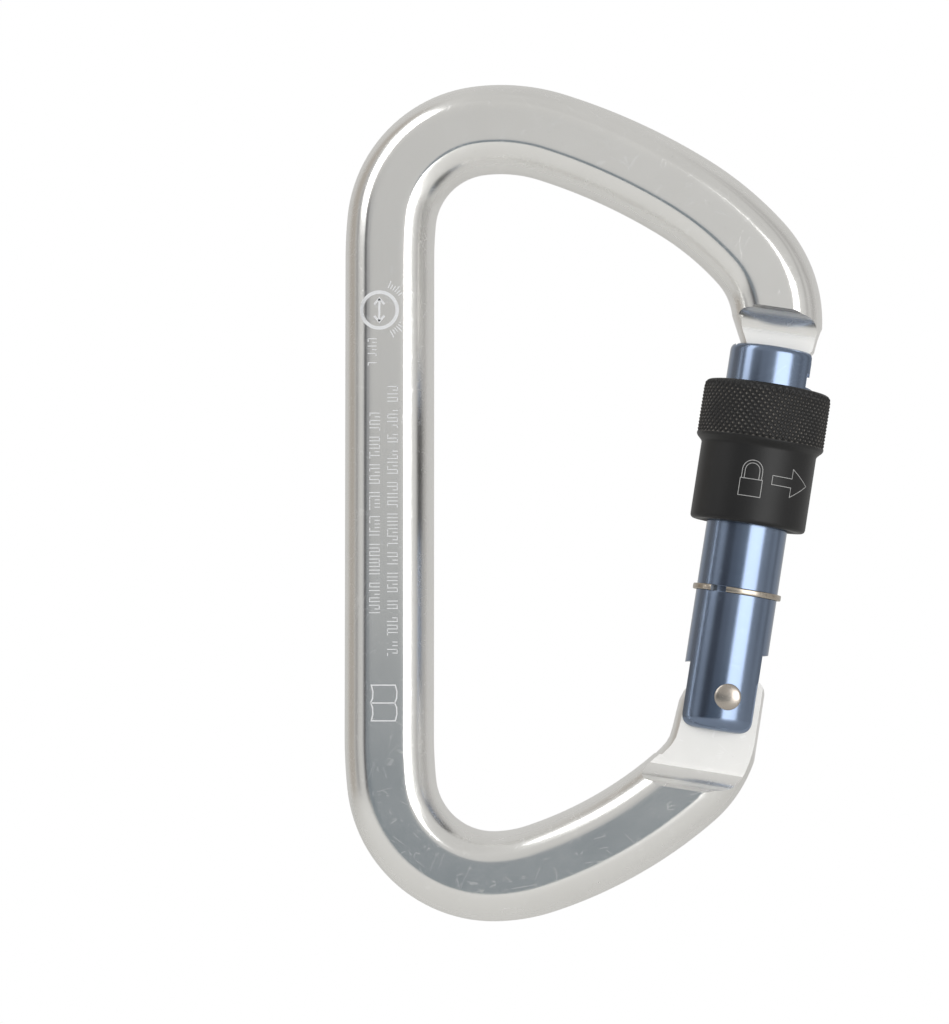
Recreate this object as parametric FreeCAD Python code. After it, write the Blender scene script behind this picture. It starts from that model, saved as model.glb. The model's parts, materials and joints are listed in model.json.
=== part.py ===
import FreeCAD, Part
import math
import os

# Screw-lock D carabiner, in millimetres.
# +Z runs up the long axis of the closed ring, +X points at the gate side, and Y is its depth.
# The origin is the highest point of the basket, the inside of the top bow, midway through the bar.

V = FreeCAD.Vector

# Bar of the ring: a forged section with flat faces front and back and rounded sides
BAR_WIDTH = 14.2
BAR_DEPTH = 13.4
FACE_WIDTH = 6.3
SHOULDER_HALF = 4.6
SHOULDER_DEPTH = 5.9

# The bar's centre line: arcs (radius, turn in degrees) each way from the crown
CROWN_TO_SPINE = ((27.1, 7.0), (15.9, 77.6), (66.0, 5.4))
CROWN_TO_NOSE = ((27.1, 18.2), (95.0, 14.0), (49.6, 16.3))
NOSE_RADIUS = 16.4
SPINE_LENGTH = 76.0
FOOT_ARCS = ((74.0, 6.0), (16.2, 85.0), (24.5, 17.4), (67.2, 22.3))
HINGE_RADIUS = 14.9
GATE_LEAN = 8.97

# Places along the gate's axis, up from the rivet
NOSE_ABOVE_RIVET = 57.45
GATE_BOTTOM = -5.5
GATE_TOP = 55.5
CLIP_HEIGHT = 16.6
THREAD_START = 28.0
THREAD_END = 47.0
SLEEVE_BOTTOM = 27.2
SLEEVE_LENGTH = 22.3

# Gate: a turned tube, slotted across its foot for the hinge and open at its head for the nose
GATE_RADIUS = 6.4
HEAD_RADIUS = 6.85
HEAD_ROUNDING = 1.0
HEAD_CROWN = 0.25
CORNER_SHARE = 0.3
FOOT_SLOT = 6.5
FOOT_SLOT_INNER_TOP = 4.5
FOOT_SLOT_OUTER_TOP = 7.4
FOOT_ROUNDING = 5.5
FOOT_ARC_START = 40.0
FOOT_ARC_MIDDLE = 65.0
FOOT_INNER_CORNER = ((-2.6, -5.2), (-4.2, -4.5), (-4.9, -2.9))
FOOT_FLARE_TOP = 3.0
SPRING_BORE_RADIUS = 2.9
SPRING_BORE_TOP = 25.5
KEY_SLOT = 6.1
KEY_HEAD_SLOT = 7.4
KEY_SLOT_BACK = -5.35
THREAD_PITCH = 2.0
THREAD_DEPTH = 0.45
THREAD_HALF_GROOVE = 0.8
THREAD_HALF_ROOT = 0.2
THREAD_CLEAR = 0.3
THREAD_LEAD = 0.5
CLIP_GROOVE_RADIUS = 6.0

# Hinge: rivet through the gate's two cheeks and the ring's tang
RIVET_OFFSET = 1.17
RIVET_RADIUS = 1.6
RIVET_HEAD_RADIUS = 2.1
RIVET_HEAD_SEAT = 5.4
RIVET_HEAD_EDGE = 6.3
RIVET_HEAD_CROWN = 6.85
TANG_THICKNESS = 6.3
TANG_SHOULDER = -11.2
TANG_OUTER_ROUND = ((5.0, 3.2), (6.15, 2.6), (6.75, 1.4))
TANG_OUTER_END = (6.75, -9.3)
TANG_INNER_SIDE = ((-8.35, -9.9), (-6.75, -7.8), (-6.45, -1.6), (-5.9, -0.1))
TANG_INNER_ROUND = (-4.9, 1.6)
TANG_FOOT = -16.0
TANG_REACH = 16.0
CUTTER_OVERLAP = 0.1

# Nose of the ring: a flat neck with a wider key head that locks into the gate's slot
NECK_THICKNESS = 5.8
KEY_HEAD_THICKNESS = 7.0
NECK_SHOULDER = 57.2
NECK_INNER_SIDE = ((-7.2, 59.4), (-5.95, 56.9), (-5.1, 55.2))
NECK_OUTER_SIDE = ((6.8, 59.3), (6.5, 57.8), (6.3, 55.9), (5.7, 55.0))
KEY_BOTTOM_RADIUS = 50.4
KEY_HEAD_RADIUS = 52.2
KEY_GAP = 0.2
NOSE_SWEEP_RADIUS = 7.1

# Locking sleeve: a plain barrel with a knurled collar above it, threaded inside
BARREL_RADIUS = 9.15
BARREL_TOP = 12.3
COLLAR_RADIUS = 10.1
COLLAR_START = 13.1
COLLAR_CHAMFER = 0.8
BARREL_BORE = 7.35
SLEEVE_ENTRY_BORE = 7.05
SLEEVE_THREAD_BORE = 6.9
SLEEVE_THREAD_START = 5.0
SLEEVE_THREAD_END = 13.0
SLEEVE_ROUNDING = 1.1
BORE_LIP_WIDTH = 0.3
BORE_LIP_HEIGHT = 0.4
ENTRY_LIP = 0.6

# Friction ring in a groove of the sleeve, and the retaining clip round the gate
RING_GROOVE_START = 13.4
RING_GROOVE_HEIGHT = 1.2
RING_GROOVE_RADIUS = 8.0
RING_INNER = 6.88
RING_OUTER = 7.9
RING_HEIGHT = 1.0
CLIP_OUTER = 7.0
CLIP_THICKNESS = 0.9
CLIP_GAP_CENTRE = -24.5
CLIP_GAP_WIDTH = 2.6

# Plunger and spring that close the gate; the plunger rides up as the gate swings
PLUNGER_TIP_RADIUS = 1.6
PLUNGER_TIP_CENTRE = 4.5
PLUNGER_LIFT_PER_RAD = 2.37
PLUNGER_COLLAR_BOTTOM = 9.0
PLUNGER_COLLAR_TOP = 10.6
PLUNGER_COLLAR_RADIUS = 2.85
PLUNGER_STEM_RADIUS = 1.25
PLUNGER_STEM_TOP = 14.0
GATE_SWING = 26.0
SPRING_WIRE = 0.7
SPRING_RADIUS = 2.2
SPRING_TURNS = 8

RUNNING_GAP = 0.05
FIT_GAP = 0.02

# Sizes of the blocks that cut pieces to shape, well outside them
BLOCK = 20.0
NOSE_BLOCK = 12.0
NOSE_BLOCK_BOTTOM = 40.0
NOSE_BLOCK_TOP = 60.0
ROUTE_SPARE = 2.0
CAM_STEPS = 12
CAM_SPARE = 2


def turn(vector, degrees):
    """The vector turned anticlockwise in the ring's plane, seen from the front."""
    angle = math.radians(degrees)
    c, s = math.cos(angle), math.sin(angle)
    return V(vector.x * c - vector.z * s, 0, vector.x * s + vector.z * c)


def arc_run(start, heading, arcs, side):
    """Edges of tangent arcs from start, each turning to one side; with the last point and heading."""
    edges = []
    for radius, degrees in arcs:
        centre = start + turn(heading, 90 * side) * radius
        middle = centre + turn(start - centre, side * degrees / 2)
        end = centre + turn(start - centre, side * degrees)
        edges.append(Part.Arc(start, middle, end).toShape())
        start, heading = end, turn(heading, side * degrees)
    return edges, start, heading


def total_turn(arcs):
    """How far a run of arcs turns, in degrees."""
    return sum(degrees for _, degrees in arcs)


def bar_route():
    """The bar's centre line from the nose round to the hinge, and the nose's end point."""
    crown = V(0, 0, BAR_WIDTH / 2)
    last = 90 + GATE_LEAN - total_turn(CROWN_TO_NOSE)
    to_nose, nose, heading = arc_run(crown, V(1, 0, 0), CROWN_TO_NOSE + ((NOSE_RADIUS, last),), -1)
    to_spine, spine_top, down = arc_run(crown, V(-1, 0, 0), CROWN_TO_SPINE, 1)
    spine_foot = spine_top + down * SPINE_LENGTH
    last = 180 - GATE_LEAN - total_turn(FOOT_ARCS)
    to_hinge, hinge, up = arc_run(spine_foot, down, FOOT_ARCS + ((HINGE_RADIUS, last),), 1)
    nose_end = nose + heading * (NOSE_ABOVE_RIVET - KEY_BOTTOM_RADIUS + ROUTE_SPARE)
    hinge_end = hinge + up * FOOT_SLOT_OUTER_TOP
    edges = [Part.makeLine(nose_end, nose)]
    edges += to_nose
    edges += to_spine
    edges.append(Part.makeLine(spine_top, spine_foot))
    edges += to_hinge
    edges.append(Part.makeLine(hinge, hinge_end))
    return Part.Wire(Part.__sortEdges__(edges)), nose_end, nose


def gate_placement(nose):
    """Takes the gate's own frame to the ring: its Z is the gate's axis and its origin is by the rivet."""
    axis = V(math.sin(math.radians(GATE_LEAN)), 0, math.cos(math.radians(GATE_LEAN)))
    return FreeCAD.Placement(nose - axis * NOSE_ABOVE_RIVET, FreeCAD.Rotation(V(0, 1, 0), GATE_LEAN))


def bar_section(at, placement):
    """The bar's closed outline, square to the gate's axis at the given point."""
    half, flat, depth = BAR_WIDTH / 2, FACE_WIDTH / 2, BAR_DEPTH / 2
    corners = [V(side * flat, face * depth, 0) for side, face in ((1, -1), (1, 1), (-1, 1), (-1, -1))]
    edges = []
    for side, front, back in ((1, corners[0], corners[1]), (-1, corners[3], corners[2])):
        low = V(side * SHOULDER_HALF, -SHOULDER_DEPTH, 0)
        high = V(side * SHOULDER_HALF, SHOULDER_DEPTH, 0)
        edges.append(Part.makeLine(front, low))
        edges.append(Part.Arc(low, V(side * half, 0, 0), high).toShape())
        edges.append(Part.makeLine(high, back))
    edges.append(Part.makeLine(corners[0], corners[3]))
    edges.append(Part.makeLine(corners[1], corners[2]))
    wire = Part.Wire(Part.__sortEdges__(edges))
    wire.Placement = FreeCAD.Placement(at, placement.Rotation)
    return wire


def lathe(points):
    """A solid turned about the gate's axis from (radius, height) corners."""
    wire = Part.makePolygon([V(r, 0, z) for r, z in points] + [V(points[0][0], 0, points[0][1])])
    return Part.Face(wire).revolve(V(0, 0, 0), V(0, 0, 1), 360)


def slab(points, thickness):
    """A plate of the given thickness about the middle plane, from (across, up) corners."""
    wire = Part.makePolygon([V(x, -thickness / 2, z) for x, z in points + [points[0]]])
    return Part.Face(wire).extrude(V(0, thickness, 0))


def pivot_ring(inner, outer, thickness):
    """A flat ring about the rivet's axis."""
    pivot = V(RIVET_OFFSET, -thickness / 2, 0)
    ring = Part.makeCylinder(outer, thickness, pivot, V(0, 1, 0))
    return ring.cut(Part.makeCylinder(inner, thickness, pivot, V(0, 1, 0)))


def cam_points():
    """Points of the tang's top under the plunger: it keeps the lift in step with the swing."""
    reach = PLUNGER_TIP_RADIUS + RUNNING_GAP
    centres = []
    for step in range(-CAM_SPARE, CAM_STEPS + CAM_SPARE + 1):
        swing = math.radians(GATE_SWING) * step / CAM_STEPS
        lift = PLUNGER_TIP_CENTRE + PLUNGER_LIFT_PER_RAD * swing
        centre = turn(V(-RIVET_OFFSET, 0, lift), math.degrees(swing))
        centres.append(centre + V(RIVET_OFFSET, 0, 0))
    points = []
    for before, here, after in zip(centres, centres[1:], centres[2:]):
        along = (after - before).normalize()
        points.append(here + turn(along, 90) * reach)
    return points


def outline_points(places):
    """Points in the ring's plane from (across, up) places."""
    return [V(across, 0, up) for across, up in places]


def tang_outline():
    """Outline of the hinge tang: cam on top, rounded outer corner, slanting into the bar below."""
    cam = Part.BSplineCurve()
    points = cam_points()
    cam.interpolate(points)
    right, left = points[0], points[-1]
    shoulder, bulge, outer = outline_points(TANG_OUTER_ROUND)
    edges = [cam.toShape(), Part.makeLine(right, shoulder), Part.Arc(shoulder, bulge, outer).toShape()]
    step, low = TANG_OUTER_END[1], TANG_INNER_SIDE[0][1]
    below = [TANG_OUTER_END, (TANG_REACH, step), (TANG_REACH, TANG_FOOT), (-TANG_REACH, TANG_FOOT),
             (-TANG_REACH, low)]
    corners = [outer] + outline_points(below) + outline_points(TANG_INNER_SIDE)
    edges += [Part.makeLine(a, b) for a, b in zip(corners, corners[1:])]
    bulge = V(TANG_INNER_ROUND[0], 0, TANG_INNER_ROUND[1])
    edges.append(Part.Arc(corners[-1], bulge, left).toShape())
    return Part.Wire(Part.__sortEdges__(edges))


def milled_flat(shoulder, thickness, away):
    """What a round-nosed cutter takes off the front and back of the bar beyond a shoulder."""
    half, depth = thickness / 2, BAR_DEPTH / 2
    radius = depth - half + CUTTER_OVERLAP
    reach = (BLOCK + NOSE_BLOCK) * away
    cuts = []
    for face in (-1, 1):
        start = V(0, face * half, shoulder)
        middle = start + V(0, face * (radius - radius * math.cos(math.pi / 4)),
                           -away * radius * math.sin(math.pi / 4))
        top = start + V(0, face * radius, -away * radius)
        far_top = V(0, face * (half + radius), shoulder + reach)
        far = V(0, face * half, shoulder + reach)
        edges = [Part.Arc(start, middle, top).toShape()]
        edges += [Part.makeLine(a, b) for a, b in ((top, far_top), (far_top, far), (far, start))]
        profile = Part.Face(Part.Wire(Part.__sortEdges__(edges)))
        cuts.append(profile.translated(V(-BLOCK, 0, 0)).extrude(V(BLOCK * 2, 0, 0)))
    return cuts


def nose_waste():
    """What is cut from the nose: flats front and back, the neck's sides, and round the key head."""
    cuts = milled_flat(NECK_SHOULDER, NECK_THICKNESS, -1)
    key = pivot_ring(KEY_BOTTOM_RADIUS, KEY_HEAD_RADIUS, KEY_HEAD_THICKNESS)
    cuts = [cut.cut(key) for cut in cuts]
    side, low, high = NOSE_BLOCK, NOSE_BLOCK_BOTTOM, NOSE_BLOCK_TOP
    inner = [(-side, NECK_INNER_SIDE[0][1])] + list(NECK_INNER_SIDE)
    inner += [(NECK_INNER_SIDE[-1][0], low), (-side, low)]
    outer = list(NECK_OUTER_SIDE) + [(NECK_OUTER_SIDE[-1][0], low), (side, low)]
    outer.append((side, NECK_OUTER_SIDE[0][1]))
    cuts += [slab(inner, side * 2), slab(outer, side * 2)]
    below = Part.makeCylinder(KEY_BOTTOM_RADIUS, side * 2, V(RIVET_OFFSET, -side, 0), V(0, 1, 0))
    cuts.append(below.common(slab([(-side, high), (side, high), (side, low), (-side, low)], side * 2)))
    tube = Part.makeCylinder(side * 2, NECK_SHOULDER - low, V(0, 0, low))
    cuts.append(tube.cut(Part.makeCylinder(NOSE_SWEEP_RADIUS, high, V(0, 0, 0))))
    return cuts


def make_ring_body():
    """The forged ring with its milled nose and hinge tang."""
    route, start, nose = bar_route()
    placement = gate_placement(nose)
    bar = route.makePipeShell([bar_section(start, placement)], True, False)
    bar = bar.removeSplitter()
    local = bar.copy()
    local.Placement = placement.inverse().multiply(bar.Placement)
    for cut in nose_waste():
        local = local.cut(cut)
    for cut in milled_flat(TANG_SHOULDER, TANG_THICKNESS, 1):
        local = local.cut(cut)
    reach = TANG_REACH
    around = slab([(-reach, TANG_FOOT), (reach, TANG_FOOT), (reach, reach), (-reach, reach)], BAR_WIDTH)
    tang = Part.Face(tang_outline()).extrude(V(0, BAR_WIDTH, 0)).translated(V(0, -BAR_WIDTH / 2, 0))
    local = local.cut(around.cut(tang))
    hole = RIVET_RADIUS + RUNNING_GAP
    local = local.cut(Part.makeCylinder(hole, BAR_WIDTH, V(RIVET_OFFSET, -BAR_WIDTH / 2, 0), V(0, 1, 0)))
    return local, placement


def thread_grooves(radius, depth, start, end):
    """Ring grooves that stand for a thread's turns, cut into a shaft or, with a negative depth, a bore."""
    grooves = []
    height = start + THREAD_PITCH / 2
    edge = radius + math.copysign(THREAD_CLEAR, depth)
    half, root = THREAD_HALF_GROOVE, THREAD_HALF_ROOT
    while height <= end - THREAD_PITCH / 2:
        grooves.append(lathe([(edge, height - half), (edge, height + half),
                              (radius - depth, height + root), (radius - depth, height - root)]))
        height += THREAD_PITCH
    return grooves


def foot_point(degrees):
    """A point of the gate's rounded foot, by its angle below the rivet's level."""
    angle = math.radians(degrees)
    return V(RIVET_OFFSET + FOOT_ROUNDING * math.cos(angle), 0, -FOOT_ROUNDING * math.sin(angle))


def foot_outline():
    """Outline of the gate's foot, rounded about the rivet."""
    wide, high = GATE_RADIUS * 2, NOSE_BLOCK_TOP
    low_right, bottom = foot_point(FOOT_ARC_START), foot_point(90)
    low_left, bulge, left = outline_points(FOOT_INNER_CORNER)
    corners = outline_points([(wide, high), (wide, 0)]) + [low_right]
    edges = [Part.makeLine(a, b) for a, b in zip(corners, corners[1:])]
    edges.append(Part.Arc(low_right, foot_point(FOOT_ARC_MIDDLE), bottom).toShape())
    edges.append(Part.makeLine(bottom, low_left))
    edges.append(Part.Arc(low_left, bulge, left).toShape())
    corners = [left] + outline_points([(-wide, FOOT_FLARE_TOP), (-wide, high), (wide, high)])
    edges += [Part.makeLine(a, b) for a, b in zip(corners, corners[1:])]
    return Part.Wire(Part.__sortEdges__(edges))


def make_gate():
    """The gate's tube with its hinge slot, spring bore, clip groove, thread and key slot."""
    chamfer, wide = HEAD_ROUNDING, GATE_RADIUS
    gate = lathe([(0, GATE_BOTTOM), (wide, GATE_BOTTOM), (wide, THREAD_START),
                  (HEAD_RADIUS, THREAD_START + THREAD_LEAD), (HEAD_RADIUS, GATE_TOP - chamfer),
                  (HEAD_RADIUS - chamfer * CORNER_SHARE, GATE_TOP - chamfer * CORNER_SHARE),
                  (HEAD_RADIUS - chamfer, GATE_TOP), (0, GATE_TOP + HEAD_CROWN)])
    gate = gate.common(Part.Face(foot_outline()).extrude(V(0, BLOCK, 0)).translated(V(0, -BLOCK / 2, 0)))
    for groove in thread_grooves(HEAD_RADIUS, THREAD_DEPTH, THREAD_START, THREAD_END):
        gate = gate.cut(groove)
    slot = [(-wide, -BLOCK), (wide, -BLOCK), (wide, FOOT_SLOT_OUTER_TOP), (-wide, FOOT_SLOT_INNER_TOP)]
    gate = gate.cut(slab(slot, FOOT_SLOT))
    gate = gate.cut(Part.makeCylinder(SPRING_BORE_RADIUS, SPRING_BORE_TOP))
    key_slot = pivot_ring(KEY_BOTTOM_RADIUS - KEY_GAP, NOSE_BLOCK_TOP, KEY_SLOT)
    wide_part = pivot_ring(KEY_BOTTOM_RADIUS - KEY_GAP, KEY_HEAD_RADIUS + KEY_GAP, KEY_HEAD_SLOT)
    key_slot = key_slot.fuse(wide_part)
    low, high = NOSE_BLOCK_BOTTOM, NOSE_BLOCK_TOP
    opening = slab([(KEY_SLOT_BACK, low), (BLOCK, low), (BLOCK, high), (KEY_SLOT_BACK, high)], BLOCK)
    gate = gate.cut(key_slot.common(opening))
    half = CLIP_THICKNESS / 2 + FIT_GAP
    groove = Part.makeCylinder(BLOCK, half * 2, V(0, 0, CLIP_HEIGHT - half))
    gate = gate.cut(groove.cut(Part.makeCylinder(CLIP_GROOVE_RADIUS, half * 2, V(0, 0, CLIP_HEIGHT - half))))
    pivot, length = V(RIVET_OFFSET, -BLOCK / 2, 0), V(0, 1, 0)
    hole = Part.makeCylinder(RIVET_RADIUS + FIT_GAP, BLOCK, pivot, length)
    seats = Part.makeCylinder(RIVET_HEAD_RADIUS + FIT_GAP, BLOCK, pivot, length)
    seat = RIVET_HEAD_SEAT - FIT_GAP
    between = Part.makeCylinder(BLOCK, seat * 2, V(0, -seat, 0), length)
    return gate.cut(hole).cut(seats.cut(between))


def make_rivet():
    """The hinge rivet, domed at both ends."""
    rise = RIVET_HEAD_CROWN - RIVET_HEAD_EDGE
    ball_radius = (RIVET_HEAD_RADIUS ** 2 + rise ** 2) / (2 * rise)
    length = RIVET_HEAD_CROWN - RIVET_HEAD_SEAT
    rivet = Part.makeCylinder(RIVET_RADIUS, RIVET_HEAD_SEAT * 2, V(0, -RIVET_HEAD_SEAT, 0), V(0, 1, 0))
    for face in (-1, 1):
        seat = V(0, face * RIVET_HEAD_SEAT, 0)
        head = Part.makeCylinder(RIVET_HEAD_RADIUS, length, seat, V(0, face, 0))
        ball = Part.makeSphere(ball_radius, V(0, face * (RIVET_HEAD_CROWN - ball_radius), 0))
        rivet = rivet.fuse(head.common(ball))
    return rivet.removeSplitter().translated(V(RIVET_OFFSET, 0, 0))


def make_plunger():
    """Round-nosed plunger with a collar under the spring and a stem inside it."""
    tip, centre = PLUNGER_TIP_RADIUS, PLUNGER_TIP_CENTRE
    body = lathe([(0, centre), (tip, centre), (tip, PLUNGER_COLLAR_BOTTOM),
                  (PLUNGER_COLLAR_RADIUS, PLUNGER_COLLAR_BOTTOM), (PLUNGER_COLLAR_RADIUS, PLUNGER_COLLAR_TOP),
                  (PLUNGER_STEM_RADIUS, PLUNGER_COLLAR_TOP), (PLUNGER_STEM_RADIUS, PLUNGER_STEM_TOP),
                  (0, PLUNGER_STEM_TOP)])
    return body.fuse(Part.makeSphere(tip, V(0, 0, centre))).removeSplitter()


def make_spring():
    """The gate's compression spring, between the plunger's collar and the end of its bore."""
    low = PLUNGER_COLLAR_TOP + SPRING_WIRE / 2 + FIT_GAP
    high = SPRING_BORE_TOP - SPRING_WIRE / 2 - FIT_GAP
    pitch = (high - low) / SPRING_TURNS
    helix = Part.makeHelix(pitch, high - low, SPRING_RADIUS)
    wire = Part.Wire(helix.Edges)
    circle = Part.Wire(Part.makeCircle(SPRING_WIRE / 2, V(SPRING_RADIUS, 0, 0), V(0, 1, 0)))
    return wire.makePipeShell([circle], True, True).translated(V(0, 0, low))


def make_sleeve():
    """The locking sleeve: collar, barrel, stepped bore, thread and the friction ring's groove."""
    ease, top = SLEEVE_ROUNDING, SLEEVE_LENGTH
    outer = [(SLEEVE_ENTRY_BORE + ENTRY_LIP, 0), (BARREL_RADIUS - ease, 0),
             (BARREL_RADIUS - ease * CORNER_SHARE, ease * CORNER_SHARE), (BARREL_RADIUS, ease),
             (BARREL_RADIUS, BARREL_TOP), (COLLAR_RADIUS, COLLAR_START),
             (COLLAR_RADIUS, top - COLLAR_CHAMFER), (COLLAR_RADIUS - COLLAR_CHAMFER, top)]
    ring_end = RING_GROOVE_START + RING_GROOVE_HEIGHT
    inner = [(BARREL_BORE + BORE_LIP_WIDTH, top), (BARREL_BORE, top - BORE_LIP_HEIGHT),
             (BARREL_BORE, ring_end), (RING_GROOVE_RADIUS, ring_end), (RING_GROOVE_RADIUS, RING_GROOVE_START),
             (SLEEVE_THREAD_BORE, RING_GROOVE_START), (SLEEVE_THREAD_BORE, SLEEVE_THREAD_START),
             (SLEEVE_ENTRY_BORE, SLEEVE_THREAD_START), (SLEEVE_ENTRY_BORE, ENTRY_LIP)]
    sleeve = lathe(outer + inner)
    for groove in thread_grooves(SLEEVE_THREAD_BORE, -THREAD_DEPTH, SLEEVE_THREAD_START, SLEEVE_THREAD_END):
        sleeve = sleeve.cut(groove)
    return sleeve.translated(V(0, 0, SLEEVE_BOTTOM))


def make_friction_ring():
    """The ring in the sleeve's groove that grips the gate."""
    low = RING_GROOVE_START + (RING_GROOVE_HEIGHT - RING_HEIGHT) / 2
    ring = lathe([(RING_INNER, 0), (RING_OUTER, 0), (RING_OUTER, RING_HEIGHT), (RING_INNER, RING_HEIGHT)])
    return ring.translated(V(0, 0, SLEEVE_BOTTOM + low))


def make_clip():
    """The split retaining ring that stops the sleeve below."""
    low, high = CLIP_HEIGHT - CLIP_THICKNESS / 2, CLIP_HEIGHT + CLIP_THICKNESS / 2
    inner = CLIP_GROOVE_RADIUS + FIT_GAP
    clip = lathe([(inner, low), (CLIP_OUTER, low), (CLIP_OUTER, high), (inner, high)])
    corner = V(-CLIP_GAP_WIDTH / 2, -BLOCK, CLIP_HEIGHT - CLIP_THICKNESS)
    gap = Part.makeBox(CLIP_GAP_WIDTH, BLOCK, CLIP_THICKNESS * 2, corner)
    gap.rotate(V(0, 0, 0), V(0, 0, 1), CLIP_GAP_CENTRE)
    return clip.cut(gap)


def main():
    """Builds every piece in the gate's frame, places it and writes one file each."""
    os.makedirs("parts", exist_ok=True)
    ring_body, placement = make_ring_body()
    pieces = {
        "ring_body": ring_body,
        "gate": make_gate(),
        "hinge_rivet": make_rivet(),
        "spring_plunger": make_plunger(),
        "gate_spring": make_spring(),
        "locking_sleeve": make_sleeve(),
        "friction_ring": make_friction_ring(),
        "retaining_clip": make_clip(),
    }
    for name, shape in pieces.items():
        placed = shape.copy()
        placed.Placement = placement.multiply(placed.Placement)
        placed.exportStep("parts/" + name + ".step")
        box = placed.BoundBox
        print(name, placed.isValid(), len(placed.Solids), round(placed.Volume, 1),
              [round(v, 2) for v in (box.XMin, box.YMin, box.ZMin, box.XMax, box.YMax, box.ZMax)])
    print("gate frame origin", placement.Base)


main()
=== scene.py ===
"""Screw-lock D carabiner: the finished look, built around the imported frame.

Sizes in the classes are in millimetres, as on a drawing. Meshes are written in metres, in the frame's own
axes: +Z up the long axis, +X towards the gate, +Y through the thickness.
"""
import json
import logging
import math
from collections.abc import Callable
from dataclasses import dataclass, field
from enum import Enum

import bmesh
import bpy
import numpy as np
from mathutils import Matrix, Vector


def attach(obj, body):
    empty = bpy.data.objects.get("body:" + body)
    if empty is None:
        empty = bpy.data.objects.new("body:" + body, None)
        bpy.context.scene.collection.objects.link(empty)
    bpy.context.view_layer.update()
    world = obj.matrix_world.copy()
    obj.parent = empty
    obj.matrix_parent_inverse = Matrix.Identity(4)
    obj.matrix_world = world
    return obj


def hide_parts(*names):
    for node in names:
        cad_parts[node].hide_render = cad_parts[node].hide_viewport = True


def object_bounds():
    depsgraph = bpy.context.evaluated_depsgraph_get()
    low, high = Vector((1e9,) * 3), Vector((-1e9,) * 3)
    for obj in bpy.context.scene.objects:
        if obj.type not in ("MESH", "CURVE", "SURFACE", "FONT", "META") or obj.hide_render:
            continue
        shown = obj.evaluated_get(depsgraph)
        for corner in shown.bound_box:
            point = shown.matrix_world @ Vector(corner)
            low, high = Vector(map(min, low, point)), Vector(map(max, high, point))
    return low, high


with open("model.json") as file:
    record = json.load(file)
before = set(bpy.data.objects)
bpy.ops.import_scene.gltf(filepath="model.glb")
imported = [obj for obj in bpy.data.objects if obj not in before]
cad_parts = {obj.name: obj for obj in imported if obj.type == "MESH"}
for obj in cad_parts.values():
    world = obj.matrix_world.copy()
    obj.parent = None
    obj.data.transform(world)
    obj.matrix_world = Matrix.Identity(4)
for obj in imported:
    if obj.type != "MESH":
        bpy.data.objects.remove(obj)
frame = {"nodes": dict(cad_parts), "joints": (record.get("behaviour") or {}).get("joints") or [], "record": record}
CAD_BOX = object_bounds()

log = logging.getLogger("carabiner")
MM = 0.001
FULL_TURN = 2 * math.pi
Colour = tuple[float, float, float]
Point = tuple[float, float, float]
Socket = bpy.types.NodeSocket
Pair = tuple[float, float]
Pairs = tuple[Pair, ...]


def joint(name: str) -> dict:
    """The frame's joint of that name.

    Args:
        name: the joint's name.

    Returns:
        The joint as the record states it.
    """
    return next(j for j in frame["joints"] if j["name"] == name)


def ease(value: np.ndarray, low: float, high: float) -> np.ndarray:
    """A smooth step: t t (3 - 2 t), where t runs from 0 at low to 1 at high.

    Args:
        value: where it is read.
        low: the value that gives 0.
        high: the value that gives 1.

    Returns:
        The step's height, 0 to 1.
    """
    t = np.clip((value - low) / (high - low), 0.0, 1.0)
    return t * t * (3.0 - 2.0 * t)


@dataclass(frozen=True)
class GateFrame:
    """The gate's own axes: across (outwards), depth and along (up the gate), with the origin by the rivet."""

    origin: np.ndarray
    along: np.ndarray
    rivet_offset: float

    @classmethod
    def from_joints(cls) -> "GateFrame":
        """Reads the gate's axis from the sleeve's joint and the rivet's place from the gate's joint."""
        spin = joint("sleeve_spin")
        origin = np.array(spin["pos_m"]) / MM
        along = np.array(spin["axis"])
        rivet = np.array(joint("gate_swing")["pos_m"]) / MM
        across = np.array([along[2], 0.0, -along[0]])
        return cls(origin, along, float((rivet - origin) @ across))

    @property
    def across(self) -> np.ndarray:
        """The outward direction, square to the gate."""
        return np.array([self.along[2], 0.0, -self.along[0]])

    def place(self, local: np.ndarray) -> np.ndarray:
        """Takes (across, depth, along) points to the frame: origin + a A + d Y + l L.

        Args:
            local: points in the gate's axes, last axis of length 3.

        Returns:
            The same points in the frame, in millimetres.
        """
        depth = np.array([0.0, 1.0, 0.0])
        return (self.origin + local[..., :1] * self.across + local[..., 1:2] * depth
                + local[..., 2:3] * self.along)

    def read(self, points: np.ndarray) -> np.ndarray:
        """The inverse of place: dot products with the three axes.

        Args:
            points: points in the frame, in millimetres.

        Returns:
            (across, depth, along) of each.
        """
        d = points - self.origin
        return np.stack([d @ self.across, d[..., 1], d @ self.along], axis=-1)


GATE = GateFrame.from_joints()


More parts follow.
